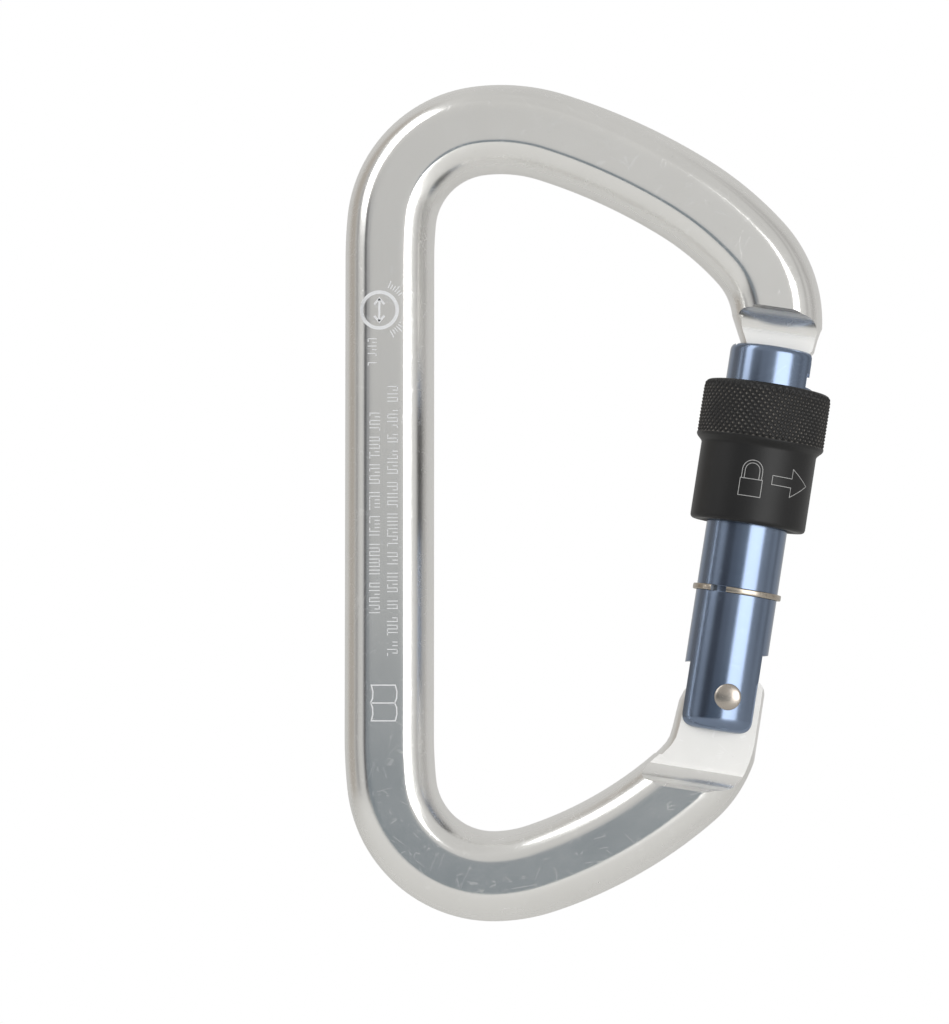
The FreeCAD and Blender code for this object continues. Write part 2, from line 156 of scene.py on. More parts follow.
class Sheets:
    """Turns grids of points into meshes."""

    MERGE = 2e-6
    NO_AREA = 1e-7
    LEVEL = 0.98
    ROUND_CUT = 0.15

    @staticmethod
    def quads(rows: int, columns: int, wrap_rows: bool, wrap_columns: bool) -> np.ndarray:
        """Corner numbers of the quads of a grid stored row by row.

        Args:
            rows: how many rows of points.
            columns: how many points in a row.
            wrap_rows: whether the last row joins the first.
            wrap_columns: whether each row is a closed loop.

        Returns:
            An array of quads, four corner numbers each.
        """
        r = np.arange(rows if wrap_rows else rows - 1)[:, None]
        c = np.arange(columns if wrap_columns else columns - 1)[None, :]
        r2, c2 = (r + 1) % rows, (c + 1) % columns
        corners = [r * columns + c, r * columns + c2, r2 * columns + c2, r2 * columns + c]
        return np.stack(np.broadcast_arrays(*corners), axis=-1).reshape(-1, 4)

    @staticmethod
    def solid(name: str, points: np.ndarray, quads: np.ndarray, sharp: float = 40.0,
              uv: np.ndarray | None = None) -> bpy.types.Object:
        """A closed mesh from points and quads: doubles are merged and faces turned to point outwards.

        Args:
            name: the piece's name.
            points: vertices in millimetres, one row each.
            quads: corner numbers, four a face.
            sharp: edges that turn by more than this, in degrees, stay sharp.
            uv: optional place of each point on the surface, in millimetres.

        Returns:
            The new object, linked to the scene, with its place in its mesh.
        """
        flat = (points.reshape(-1, 3) * MM).astype(np.float64)
        a, b, c, d = (flat[quads[:, k]] for k in range(4))
        volume = np.einsum("ij,ij->i", a, np.cross(b, c) + np.cross(c, d)).sum()
        if volume < 0:
            quads = quads[:, ::-1]
        mesh = bpy.data.meshes.new(name)
        mesh.vertices.add(len(flat))
        mesh.vertices.foreach_set("co", flat.ravel())
        mesh.loops.add(quads.size)
        mesh.loops.foreach_set("vertex_index", quads.ravel().astype(np.int32))
        mesh.polygons.add(len(quads))
        mesh.polygons.foreach_set("loop_start", np.arange(0, quads.size, 4, dtype=np.int32))
        if uv is not None:
            layer = mesh.uv_layers.new(name="surface")
            layer.data.foreach_set("uv", uv.reshape(-1, 2)[quads.ravel()].astype(np.float32).ravel())
        mesh.update(calc_edges=True)
        piece = bpy.data.objects.new(name, mesh)
        bpy.context.scene.collection.objects.link(piece)
        Sheets.weld(piece, sharp)
        return piece

    @staticmethod
    def loft(name: str, rows: np.ndarray) -> bpy.types.Object:
        """A closed tool in the gate's axes: loops of points joined row to row, with a flat face at each end.

        Args:
            name: the tool's name.
            rows: (rows, points, 3) loops in the gate's axes, in millimetres.

        Returns:
            The tool, with its faces outwards.
        """
        count, columns = rows.shape[:2]
        faces = Sheets.quads(count, columns, False, True).tolist()
        first = list(range(columns))
        last = [(count - 1) * columns + k for k in first]
        mesh = bpy.data.meshes.new(name)
        mesh.from_pydata((GATE.place(rows) * MM).reshape(-1, 3).tolist(), [], faces + [first[::-1], last])
        layer = mesh.uv_layers.new(name="surface")
        corners = np.empty(len(mesh.loops), np.int32)
        mesh.loops.foreach_get("vertex_index", corners)
        layer.data.foreach_set("uv", rows.reshape(-1, 3)[corners][:, [0, 2]].astype(np.float32).ravel())
        work = bmesh.new()
        work.from_mesh(mesh)
        bmesh.ops.recalc_face_normals(work, faces=work.faces)
        work.to_mesh(mesh)
        work.free()
        mesh.shade_smooth()
        tool = bpy.data.objects.new(name, mesh)
        bpy.context.scene.collection.objects.link(tool)
        return tool

    @staticmethod
    def weld(piece: bpy.types.Object, sharp: float) -> None:
        """Merges double points, drops faces of no area and shades smooth up to the sharp angle.

        Args:
            piece: the mesh object.
            sharp: edges that turn by more than this, in degrees, stay sharp.
        """
        work = bmesh.new()
        work.from_mesh(piece.data)
        bmesh.ops.remove_doubles(work, verts=work.verts, dist=Sheets.MERGE)
        bmesh.ops.dissolve_degenerate(work, edges=work.edges, dist=Sheets.NO_AREA)
        work.to_mesh(piece.data)
        work.free()
        piece.data.shade_smooth()
        piece.data.set_sharp_from_angle(angle=math.radians(sharp))

    @staticmethod
    def cut(piece: bpy.types.Object, tools: list[bpy.types.Object], sharp: float) -> None:
        """Cuts closed tools out of a piece, and marks the faces that they leave in the attribute milled.

        Args:
            piece: what is cut.
            tools: closed meshes to take away.
            sharp: edges that turn by more than this, in degrees, stay sharp.
        """
        blank = [bpy.data.materials.new(label) for label in ("uncut", "cut")]
        piece.data.materials.append(blank[0])
        for tool in tools:
            tool.data.materials.append(blank[1])
            step = piece.modifiers.new("cut", "BOOLEAN")
            step.operation, step.solver, step.object = "DIFFERENCE", "EXACT", tool
            step.material_mode = "TRANSFER"
        graph = bpy.context.evaluated_depsgraph_get()
        result = bpy.data.meshes.new_from_object(piece.evaluated_get(graph))
        piece.modifiers.clear()
        piece.data = result
        for tool in tools:
            bpy.data.objects.remove(tool)
        Sheets.weld(piece, sharp)
        Sheets.record_cut(piece.data)
        for material in blank:
            bpy.data.materials.remove(material)

    @staticmethod
    def record_cut(mesh: bpy.types.Mesh) -> None:
        """Turns the cut faces' material number into the attribute milled, and makes the cut's outline sharp.

        milled is 1 on flats that face along the depth, ROUND_CUT on other cut faces and 0 elsewhere. An edge
        is on the outline when the highest and the lowest number among its faces differ.

        Args:
            mesh: a mesh whose second material marks its cut faces.
        """
        faces = len(mesh.polygons)
        slot, sides = np.empty(faces, np.int32), np.empty(faces, np.int32)
        mesh.polygons.foreach_get("material_index", slot)
        mesh.polygons.foreach_get("loop_total", sides)
        normal = np.empty(faces * 3, np.float32)
        mesh.polygons.foreach_get("normal", normal)
        level = np.abs(normal.reshape(-1, 3)[:, 1]) > Sheets.LEVEL
        milled = mesh.attributes.new("milled", "FLOAT", "FACE")
        amount = (slot > 0) * np.where(level, 1.0, Sheets.ROUND_CUT)
        milled.data.foreach_set("value", amount.astype(np.float32))
        edge = np.empty(len(mesh.loops), np.int32)
        mesh.loops.foreach_get("edge_index", edge)
        number = np.repeat(slot, sides)
        low, high = np.full(len(mesh.edges), number.max()), np.zeros(len(mesh.edges), np.int32)
        np.minimum.at(low, edge, number)
        np.maximum.at(high, edge, number)
        sharp = np.empty(len(mesh.edges), bool)
        mesh.edges.foreach_get("use_edge_sharp", sharp)
        mesh.edges.foreach_set("use_edge_sharp", sharp | (high > low))
        mesh.polygons.foreach_set("material_index", np.zeros_like(slot))
        mesh.materials.clear()


class Finish(Enum):
    """The record's material slots."""

    RING = "polished_aluminium"
    GATE = "anodised_gate"
    RIVET = "rivet_steel"
    SPRING = "spring_steel"
    SLEEVE = "black_sleeve"
    FRICTION = "ring_nylon"
    CLIP = "clip_steel"


class NodeTree:
    """A small wrapper that adds and links shader nodes."""

    def __init__(self, tree: bpy.types.NodeTree) -> None:
        """Starts on an empty tree.

        Args:
            tree: the node tree to fill.
        """
        self.tree = tree

    def add(self, kind: str, inputs: dict | None = None, **settings: object) -> bpy.types.Node:
        """Adds a node.

        Args:
            kind: the node's type name, without its ShaderNode.
            inputs: socket name or number to a value, or to the output socket that feeds it.
            settings: the node's own properties.

        Returns:
            The new node.
        """
        node = self.tree.nodes.new(kind if kind.startswith("NodeGroup") else "ShaderNode" + kind)
        for key, value in settings.items():
            setattr(node, key, value)
        self.fill(node, inputs or {})
        return node

    def fill(self, node: bpy.types.Node, inputs: dict) -> None:
        """Feeds a node's inputs.

        Args:
            node: the node.
            inputs: socket name or number to a value, or to the output socket that feeds it.
        """
        for key, value in inputs.items():
            if isinstance(value, Socket):
                self.tree.links.new(value, node.inputs[key])
            else:
                node.inputs[key].default_value = value

    def group(self, effect: bpy.types.NodeTree, **inputs: object) -> bpy.types.Node:
        """Places a shared effect.

        Args:
            effect: the node group.
            inputs: its inputs by name.

        Returns:
            The group's node.
        """
        node = self.add("Group", node_tree=effect)
        self.fill(node, inputs)
        return node

    def noise(self, vector: Socket, scale: object, detail: float, **inputs: object) -> Socket:
        """A noise texture.

        Args:
            vector: where it is read.
            scale: its features per unit of the vector, a number or a socket.
            detail: its octaves.
            inputs: its other inputs.

        Returns:
            The noise, 0 to 1.
        """
        return self.add("TexNoise", {"Vector": vector, "Scale": scale, "Detail": detail, **inputs}).outputs[0]

    def math(self, operation: str, a: object, b: object = 0.0) -> Socket:
        """A math node.

        Args:
            operation: the node's operation.
            a: first value or socket.
            b: second value or socket.

        Returns:
            The result's socket.
        """
        return self.add("Math", {0: a, 1: b}, operation=operation).outputs[0]

    def total(self, start: object, *terms: tuple[Socket, float]) -> object:
        """start + the sum of mask times share; shares of 0 add no nodes.

        Args:
            start: a value or a socket.
            terms: (mask, share) pairs.

        Returns:
            The sum's socket, or start itself when nothing is added to it.
        """
        for mask, share in terms:
            if share:
                start = self.math("ADD", start, self.math("MULTIPLY", mask, share))
        return start

    def mix(self, factor: Socket, a: Socket | Colour, b: Socket | Colour) -> Socket:
        """Mixes two colours.

        Args:
            factor: share of b.
            a: colour at 0.
            b: colour at 1.

        Returns:
            The mixed colour's socket.
        """
        node = self.add("Mix", data_type="RGBA")
        self.tree.links.new(factor, node.inputs[0])
        for name, value in (("A", a), ("B", b)):
            socket = next(s for s in node.inputs if s.name == name and s.type == "RGBA")
            if isinstance(value, Socket):
                self.tree.links.new(value, socket)
            else:
                socket.default_value = (*value, 1.0)
        return next(s for s in node.outputs if s.type == "RGBA")

    def surface(self, bump_height: Socket, bump_mm: float, **inputs: object) -> None:
        """Ends a material: a Principled surface with a bump.

        Args:
            bump_height: the bump's height, 0 to 1.
            bump_mm: how high 1 stands, in millimetres.
            inputs: the surface's inputs, with _ for a space.
        """
        bump = self.add("Bump", {"Height": bump_height, "Distance": bump_mm * MM, "Strength": 1.0})
        named = {name.replace("_", " "): value for name, value in inputs.items()}
        shader = self.add("BsdfPrincipled", {**named, "Normal": bump.outputs[0]})
        self.add("OutputMaterial", {"Surface": shader.outputs[0]})


def start_material(name: str) -> tuple[bpy.types.Material, NodeTree, Socket]:
    """An empty material.

    Args:
        name: the material's name.

    Returns:
        The material, its tree, and its Object coordinates in millimetres.
    """
    material = bpy.data.materials.new(name)
    material.use_nodes = True
    material.node_tree.nodes.clear()
    t = NodeTree(material.node_tree)
    place = t.add("TexCoord").outputs["Object"]
    return material, t, t.add("Mapping", {"Vector": place, "Scale": (1 / MM,) * 3}).outputs[0]


def scaled(colour: Colour, factor: float) -> Colour:
    """A colour times a factor."""
    return tuple(c * factor for c in colour)


class SharedEffects:
    """Node groups that more than one finish uses."""

    SCRATCH_TURNS = ((0.35, 1.3, 26.0), (2.2, 1.9, 17.0), (1.3, 1.6, 21.0))
    SCRATCH_WIDTH = 0.016
    SCRATCH_PATCHES = 0.6

    def __init__(self) -> None:
        """Builds each group once."""
        self.grain = self._grain()
        self.handling = self._handling()

    @staticmethod
    def _group(name: str, numbers: tuple[str, ...],
               outputs: tuple[str, ...]) -> tuple[NodeTree, dict[str, Socket], bpy.types.Node]:
        """An empty group with a vector input, number inputs and number outputs.

        Args:
            name: the group's name.
            numbers: the names of its number inputs.
            outputs: the names of its outputs.

        Returns:
            Its tree, its input sockets by name, and its output node.
        """
        tree = bpy.data.node_groups.new(name, "ShaderNodeTree")
        tree.interface.new_socket(name="Vector", in_out="INPUT", socket_type="NodeSocketVector")
        for way, labels in (("INPUT", numbers), ("OUTPUT", outputs)):
            for label in labels:
                tree.interface.new_socket(name=label, in_out=way, socket_type="NodeSocketFloat")
        t = NodeTree(tree)
        return t, t.add("NodeGroupInput").outputs, t.add("NodeGroupOutput")

    def _grain(self) -> bpy.types.NodeTree:
        """Drawn or brushed grain: noise stretched along the vector's first axis, in two sizes."""
        t, given, sink = self._group("drawn_grain", ("Pitch", "Stretch"), ("Height",))
        parts = t.add("SeparateXYZ", {0: given["Vector"]}).outputs
        along = t.math("MULTIPLY", parts[0], given["Stretch"])
        lines = t.add("CombineXYZ", {0: along, 1: parts[1], 2: parts[2]}).outputs[0]
        fine = t.noise(lines, given["Pitch"], 3.0, Roughness=0.6)
        both = t.total(t.math("MULTIPLY", fine, 0.7), (t.noise(lines, 1.3, 1.0), 0.3))
        t.tree.links.new(both, sink.inputs["Height"])
        return t.tree

    def _handling(self) -> bpy.types.NodeTree:
        """Handling marks: thin scratches, pits and soft smears, from noise on object coordinates."""
        t, given, sink = self._group("handling_marks", ("Scratches", "Pits"), ("Scratch", "Pit", "Smear"))
        vector = given["Vector"]
        scratch = 0.0
        for turn, gap, length in self.SCRATCH_TURNS:
            turned = t.add("Mapping", {"Vector": vector, "Rotation": (0.25, turn, 0.1),
                                       "Scale": (gap, gap, length)}, vector_type="TEXTURE")
            cells = t.add("TexVoronoi", {"Vector": turned.outputs[0], "Scale": 1.0, "Randomness": 1.0},
                          feature="DISTANCE_TO_EDGE")
            line = t.math("LESS_THAN", cells.outputs["Distance"], self.SCRATCH_WIDTH)
            patch = t.math("GREATER_THAN", t.noise(vector, 0.23 + 0.1 * turn, 2.0), self.SCRATCH_PATCHES)
            scratch = t.math("MAXIMUM", scratch, t.math("MULTIPLY", line, patch))
        dots = t.add("TexVoronoi", {"Vector": vector, "Scale": 2.4, "Randomness": 1.0})
        reach = t.math("MULTIPLY", t.math("SUBTRACT", t.noise(vector, 0.9, 2.0), 0.5), 0.9)
        pit = t.math("LESS_THAN", dots.outputs["Distance"], reach)
        for label, value in (("Scratch", t.math("MULTIPLY", scratch, given["Scratches"])),
                             ("Pit", t.math("MULTIPLY", pit, given["Pits"])),
                             ("Smear", t.noise(vector, 0.12, 4.0, Roughness=0.55))):
            t.tree.links.new(value, sink.inputs[label])
        return t.tree


@dataclass(frozen=True)
class Metal:
    """A metal finish: a tinted metal with grain, scratches, pits and smears.

    Smears run from shade to colour and change the roughness by its spread. Scratches are lighter and
    rougher, pits darker. milled_roughness and milled_dullness act where the piece was cut, side_roughness
    where it faces away from the depth axis. from_uv draws the grain along the piece's own UV map.
    """

    slot: Finish
    colour: Colour
    shade: Colour
    roughness: float
    roughness_spread: float
    grain_pitch: float
    grain_height: float
    scratches: float
    pits: float
    from_uv: bool = False
    milled_roughness: float = 0.0
    milled_dullness: float = 0.0
    side_roughness: float = 0.0
    grain_stretch: float = 0.05
    scratch_roughness: float = 0.12
    scratch_gain: float = 1.25
    scratch_lift: float = 0.05
    pit_shade: float = 0.6
    mark_depth: float = 0.6

    def build(self, effects: SharedEffects) -> bpy.types.Material:
        """Makes the material.

        Args:
            effects: the shared node groups.

        Returns:
            The finished material.
        """
        material, t, in_mm = start_material(self.slot.value)
        along = t.add("TexCoord").outputs["UV"] if self.from_uv else in_mm
        grain = t.group(effects.grain, Vector=along, Pitch=self.grain_pitch, Stretch=self.grain_stretch)
        marks = t.group(effects.handling, Vector=in_mm, Scratches=self.scratches, Pits=self.pits)
        smear, scratch, pit = (marks.outputs[k] for k in ("Smear", "Scratch", "Pit"))
        bright = tuple(min(1.0, c * self.scratch_gain + self.scratch_lift) for c in self.colour)
        tint = t.mix(scratch, t.mix(smear, self.shade, self.colour), bright)
        tint = t.mix(pit, tint, scaled(self.shade, self.pit_shade))
        milled = t.add("Attribute", attribute_name="milled").outputs["Fac"]
        facing = t.add("SeparateXYZ", {0: t.add("NewGeometry").outputs["Normal"]}).outputs[1]
        side = t.math("SUBTRACT", 1.0, t.math("ABSOLUTE", facing))
        rough = t.total(self.roughness - self.roughness_spread / 2, (smear, self.roughness_spread),
                        (scratch, self.scratch_roughness), (milled, self.milled_roughness),
                        (side, self.side_roughness))
        height = t.total(grain.outputs["Height"], (scratch, -self.mark_depth), (pit, -self.mark_depth))
        t.surface(height, self.grain_height, Base_Color=tint, Roughness=rough,
                  Metallic=t.total(1.0, (milled, -self.milled_dullness)))
        return material


@dataclass(frozen=True)
class BlackAnodise:
    """The sleeve's dyed coat: satin black, with the knurl's tips lighter brown-grey, partly rubbed wear and partly
    a painted highlight.
    """

    slot: Finish = Finish.SLEEVE
    colour: Colour = (0.0072, 0.0072, 0.0076)
    smear_gain: float = 1.9
    rub_and_highlight: Colour = (0.17, 0.155, 0.14)
    rub_and_highlight_gain: float = 4.0
    roughness: float = 0.38
    roughness_spread: float = 0.12
    specular: float = 0.34
    speck_height: float = 0.006

    def build(self, effects: SharedEffects) -> bpy.types.Material:
        """Makes the material.

        Args:
            effects: the shared node groups.

        Returns:
            The finished material.
        """
        material, t, in_mm = start_material(self.slot.value)
        marks = t.group(effects.handling, Vector=in_mm)
        # Painted highlight: the knurl's tips turn lighter brown-grey in colour, partly as rubbed wear and partly
        # standing in for the tips' highlights.
        tip = t.add("Attribute", attribute_name="knurl_tip").outputs["Fac"]
        tip_rub_and_highlight = t.math("POWER", t.noise(in_mm, 0.35, 4.0), 2.0)
        worn_and_highlit = t.math("MULTIPLY", t.math("POWER", tip, 5.0), tip_rub_and_highlight)
        worn_and_highlit = t.add("Clamp", {0: t.math("MULTIPLY", worn_and_highlit, self.rub_and_highlight_gain)}).outputs[0]
        tint = t.mix(marks.outputs["Smear"], self.colour, scaled(self.colour, self.smear_gain))
        speck = t.noise(in_mm, 9.0, 3.0)
        t.surface(speck, self.speck_height, Base_Color=t.mix(worn_and_highlit, tint, self.rub_and_highlight),
                  Roughness=t.total(self.roughness, (speck, self.roughness_spread)), Metallic=0.0,
                  Specular_IOR_Level=self.specular)
        return material


@dataclass(frozen=True)
class Frost:
    """A dull pale surface with a fine speckle: etched marks, and the friction ring's plastic."""

    name: str
    colour: Colour
    roughness: float
    metallic: float

    def build(self) -> bpy.types.Material:
        """Makes the material.

        Returns:
            The finished material.
        """
        material, t, in_mm = start_material(self.name)
        speckle = t.noise(in_mm, 12.0, 2.0)
        t.surface(speckle, 0.004, Base_Color=t.mix(speckle, scaled(self.colour, 0.85), self.colour),
                  Roughness=self.roughness, Metallic=self.metallic)
        return material


@dataclass
class RingBar:
    """The forged ring: a flat-faced bar on a route of tangent arcs, milled at both ends.

    Arcs are (radius, degrees). The outlines of the neck and the tang are (across, height) in the gate's axes.
    """

    # the bar's section
    width: float = 14.2
    depth: float = 13.4
    face_half: float = 3.15
    shoulder_half: float = 4.6
    shoulder_depth: float = 5.8
    crease: float = 0.36
    columns: int = 128
    fine: int = 12
    side_points: int = 200
    girth: float = 44.0
    # the route, from the crown to the nose and from the crown by the spine to the hinge
    lean: float = 8.97
    to_spine: Pairs = ((27.1, 7.0), (15.9, 77.6), (66.0, 5.4))
    to_nose: Pairs = ((27.1, 18.2), (95.0, 14.0), (49.6, 16.3))
    nose_radius: float = 16.4
    spine_length: float = 76.0
    foot: Pairs = ((74.0, 6.0), (16.2, 85.0), (24.5, 17.4), (67.2, 22.3))
    hinge_radius: float = 14.9
    coarse: float = 0.9
    end_step: float = 0.45
    nose_spare: float = 2.0
    tang_end: float = 6.0
    # the key and its neck at the nose, with radii from the rivet
    key_bottom: float = 50.4
    key_head: float = 52.2
    key_half: float = 3.5
    neck_half: float = 2.9
    neck_shoulder: float = 57.2
    neck_inner: Pairs = ((-7.4, 59.8), (-7.2, 59.4), (-5.95, 56.9), (-5.1, 55.2), (-5.1, 40.0))
    neck_outer: Pairs = ((7.0, 59.9), (6.8, 59.3), (6.5, 57.8), (6.3, 55.9), (5.7, 55.0), (5.7, 40.0))
    # the cutters' own shapes: where the lip starts, in radians, and the rolled edges' radii
    lip_start: float = 1.42
    lip: float = 0.6
    neck_roll: float = 5.0
    edge_roll: float = 14.0
    roll_share: float = 0.94
    most_rolled: float = 8.0
    # the tang at the hinge
    tang_half: float = 3.15
    tang_shoulder: float = -11.2
    tang_inner: Pairs = ((-8.8, -10.5), (-8.05, -9.5), (-7.4, -8.5), (-7.0, -7.5), (-6.78, -6.0),
                         (-6.55, -3.2), (-6.4, -1.6), (-5.9, -0.1), (-4.9, 1.6))
    tang_outer: Pairs = ((7.0, -9.8), (6.75, -9.3), (6.75, 4.0))
    tang_crown: Pairs = ((-6.5, -1.2), (-5.9, -0.1), (-5.3, 0.9), (-4.5, 1.85), (-3.6, 2.5), (-2.9, 2.76),
                         (-2.2, 2.86), (0.0, 2.8), (5.0, 3.15), (5.6, 3.0), (6.15, 2.6), (6.5, 2.1),
                         (6.75, 1.3))
    crown_run: Pair = (-6.2, 9.0)
    tang_clear: Pair = (-6.4, 1.55)
    rivet_hole: float = 1.65
    sharp: float = 33.0
    # how far the tools reach
    spare: float = 0.1
    overlap: float = 0.001
    tool_half: float = 9.0
    neck_reach: float = 13.0
    tang_reach: float = 22.0
    far: float = 30.0
    below_key: float = 40.0
    above_tang: float = 14.0

    def section(self) -> np.ndarray:
        """The bar's outline: two flat faces, four bevels and two side arcs, with creases softened.

        The outline is sampled evenly by length, then each point becomes the average of its neighbours under a
        bell curve as wide as the crease, which rounds only where the direction changes.

        Returns:
            (outward, depth) points, an evenly spaced closed loop.
        """
        rise = self.width / 2 - self.shoulder_half
        radius = (self.shoulder_depth ** 2 + rise ** 2) / (2 * rise)
        swing = math.asin(self.shoulder_depth / radius)
        turn = np.linspace(-swing, swing, self.side_points)
        side = np.stack([self.width / 2 - radius + radius * np.cos(turn), radius * np.sin(turn)], axis=1)
        corner = np.array([[self.face_half, self.depth / 2]])
        right = np.concatenate([corner * (1, -1), side, corner])
        loop = np.concatenate([right, -right])
        loop = np.concatenate([loop, loop[:1]])
        steps = np.hypot(*np.diff(loop, axis=0).T)
        length = np.concatenate([[0.0], np.cumsum(steps)])
        dense = self.columns * self.fine
        at = np.linspace(0.0, length[-1], dense, endpoint=False)
        even = np.stack([np.interp(at, length, loop[:, k]) for k in (0, 1)], axis=1)
        offset = (np.arange(dense) + dense // 2) % dense - dense // 2
        bell = np.exp(-0.5 * (offset * length[-1] / dense / self.crease) ** 2)
        bell = np.fft.rfft(bell / bell.sum())[:, None]
        even = np.fft.irfft(np.fft.rfft(even, axis=0) * bell, n=dense, axis=0)
        return even[::self.fine]

    @staticmethod
    def run(start: np.ndarray, heading: float, arcs: Pairs, side: int,
            spacing: list[float]) -> tuple[np.ndarray, np.ndarray, np.ndarray, float]:
        """Stations along tangent arcs: each arc's points are its centre plus a turned radius.

        Args:
            start: first point, (x, z).
            heading: direction of travel, in radians from +X.
            arcs: (radius, degrees) of each arc.
            side: 1 turns left, -1 turns right.
            spacing: distance between stations on each arc.

        Returns:
            Points, headings, and the last point and heading.
        """
        points, headings = [], []
        for (radius, degrees), step in zip(arcs, spacing):
            turn = math.radians(degrees)
            count = int(math.ceil(radius * turn / step))
            angle = heading + side * np.linspace(0.0, turn, count + 1)
            left = np.stack([-np.sin(angle), np.cos(angle)], axis=1)
            centre = start + side * radius * left[0]
            here = centre - side * radius * left
            points.append(here[:-1])
            headings.append(angle[:-1])
            start, heading = here[-1], float(angle[-1])
        return np.concatenate(points), np.concatenate(headings), start, heading

    @staticmethod
    def straight(start: np.ndarray, heading: float, length: float, count: int,
                 whole: bool = True) -> tuple[np.ndarray, np.ndarray]:
        """Stations on a line: start + s (cos, sin) of the heading.

        Args:
            start: first point, (x, z).
            heading: direction of travel, in radians from +X.
            length: how far it goes.
            count: how many stations.
            whole: whether the last station stands at its end.

        Returns:
            The stations and their headings.
        """
        way = np.linspace(0.0, length, count, endpoint=whole)[:, None]
        return start + way * np.array([math.cos(heading), math.sin(heading)]), np.full(count, heading)

    def route(self) -> tuple[np.ndarray, np.ndarray]:
        """The whole centre line from the nose, over the crown, down the spine and round to the hinge.

        Returns:
            (x, z) stations and their headings.
        """
        crown = np.array([0.0, self.width / 2])
        arcs = self.to_nose + ((self.nose_radius, 90 + self.lean - sum(a for _, a in self.to_nose)),)
        spacing = [self.coarse] * 3 + [self.end_step]
        to_nose, nose_headings, nose, down = self.run(crown, 0.0, arcs, -1, spacing)
        reach = GATE.read(np.array([nose[0], 0.0, nose[1]]))[2] - self.key_bottom + self.nose_spare
        neck, neck_headings = self.straight(nose, down, reach, int(reach / self.end_step) + 1)
        to_spine, spine_headings, spine_top, heading = self.run(crown, math.pi, self.to_spine, 1,
                                                                [self.coarse] * 3)
        rows = int(self.spine_length / (self.coarse * 2))
        spine, spine_heading = self.straight(spine_top, heading, self.spine_length, rows, False)
        spine_foot = spine_top + self.spine_length * np.array([math.cos(heading), math.sin(heading)])
        arcs = self.foot + ((self.hinge_radius, 180 - self.lean - sum(a for _, a in self.foot)),)
        spacing = [self.coarse] * 4 + [self.end_step * 0.8]
        to_hinge, hinge_headings, hinge, up = self.run(spine_foot, heading, arcs, 1, spacing)
        stop = self.tang_end - GATE.read(np.array([hinge[0], 0.0, hinge[1]]))[2]
        tang, tang_headings = self.straight(hinge, up, stop, int(stop / self.end_step) + 1)
        points = np.concatenate([neck[::-1], to_nose[::-1], to_spine[1:], spine, to_hinge, tang])
        backwards = np.concatenate([neck_headings, nose_headings[::-1]]) + math.pi
        headings = np.concatenate([backwards, spine_headings[1:], spine_heading, hinge_headings,
                                   tang_headings])
        return points, headings

    def cutter(self, face: int, half: float, shoulder: float, away: int, end: np.ndarray,
               across: np.ndarray) -> np.ndarray:
        """The path of a round-nosed cutter: flat to the shoulder, nearly a quarter circle, a sloping lip.

        Args:
            face: -1 for the front, 1 for the back.
            half: half of the thickness that it leaves.
            shoulder: height where the flat ends.
            away: which way the flat runs from the shoulder, up or down the gate's axis.
            end: height of the flat's far end, one for each across value.
            across: where the loops stand.

        Returns:
            Loops for a loft along the across direction.
        """
        face_tool = self.depth / 2 + self.spare
        radius = face_tool - half
        turn = np.linspace(0.0, self.lip_start, 33)
        reach = radius * math.sin(self.lip_start) + self.lip
        depth = np.concatenate([half + radius * (1 - np.cos(turn)),
                                [face_tool, self.depth, self.depth, half]])
        height = shoulder - away * np.concatenate([radius * np.sin(turn), [reach, reach, 0.0, 0.0]])
        loops = np.empty((len(across), len(depth), 3))
        loops[..., 0] = across[:, None]
        loops[..., 1] = face * depth
        loops[..., 2] = height
        loops[:, -2:, 2] = end[:, None]
        return loops

    def side_cut(self, edge: Pairs, roll: float, side: int) -> np.ndarray:
        """What is taken off one side: across = edge(height) + side (R - sqrt(R R - y y)), rolled over by R.

        Args:
            edge: (across, height) points of the side's outline.
            roll: radius R of the rolled edge.
            side: -1 for the inner side, 1 for the outer side.

        Returns:
            Loops for a loft along the gate's axis.
        """
        outline = np.array(edge)
        rolled = self.roll_share * min(roll, self.most_rolled)
        depth = np.linspace(-rolled, rolled, 41)
        drop = roll - np.sqrt(roll * roll - depth * depth)
        loops = np.empty((len(outline), len(depth) + 4, 3))
        loops[:, 2:-2, 0] = outline[:, :1] - side * drop
        loops[:, 2:-2, 1] = depth
        loops[:, [1, -2], 0] = loops[:, [2, -3], 0]
        loops[:, [0, -1], 0] = side * self.far
        loops[:, [0, 1], 1], loops[:, [-1, -2], 1] = -self.tool_half, self.tool_half
        loops[..., 2] = outline[:, 1:]
        return loops

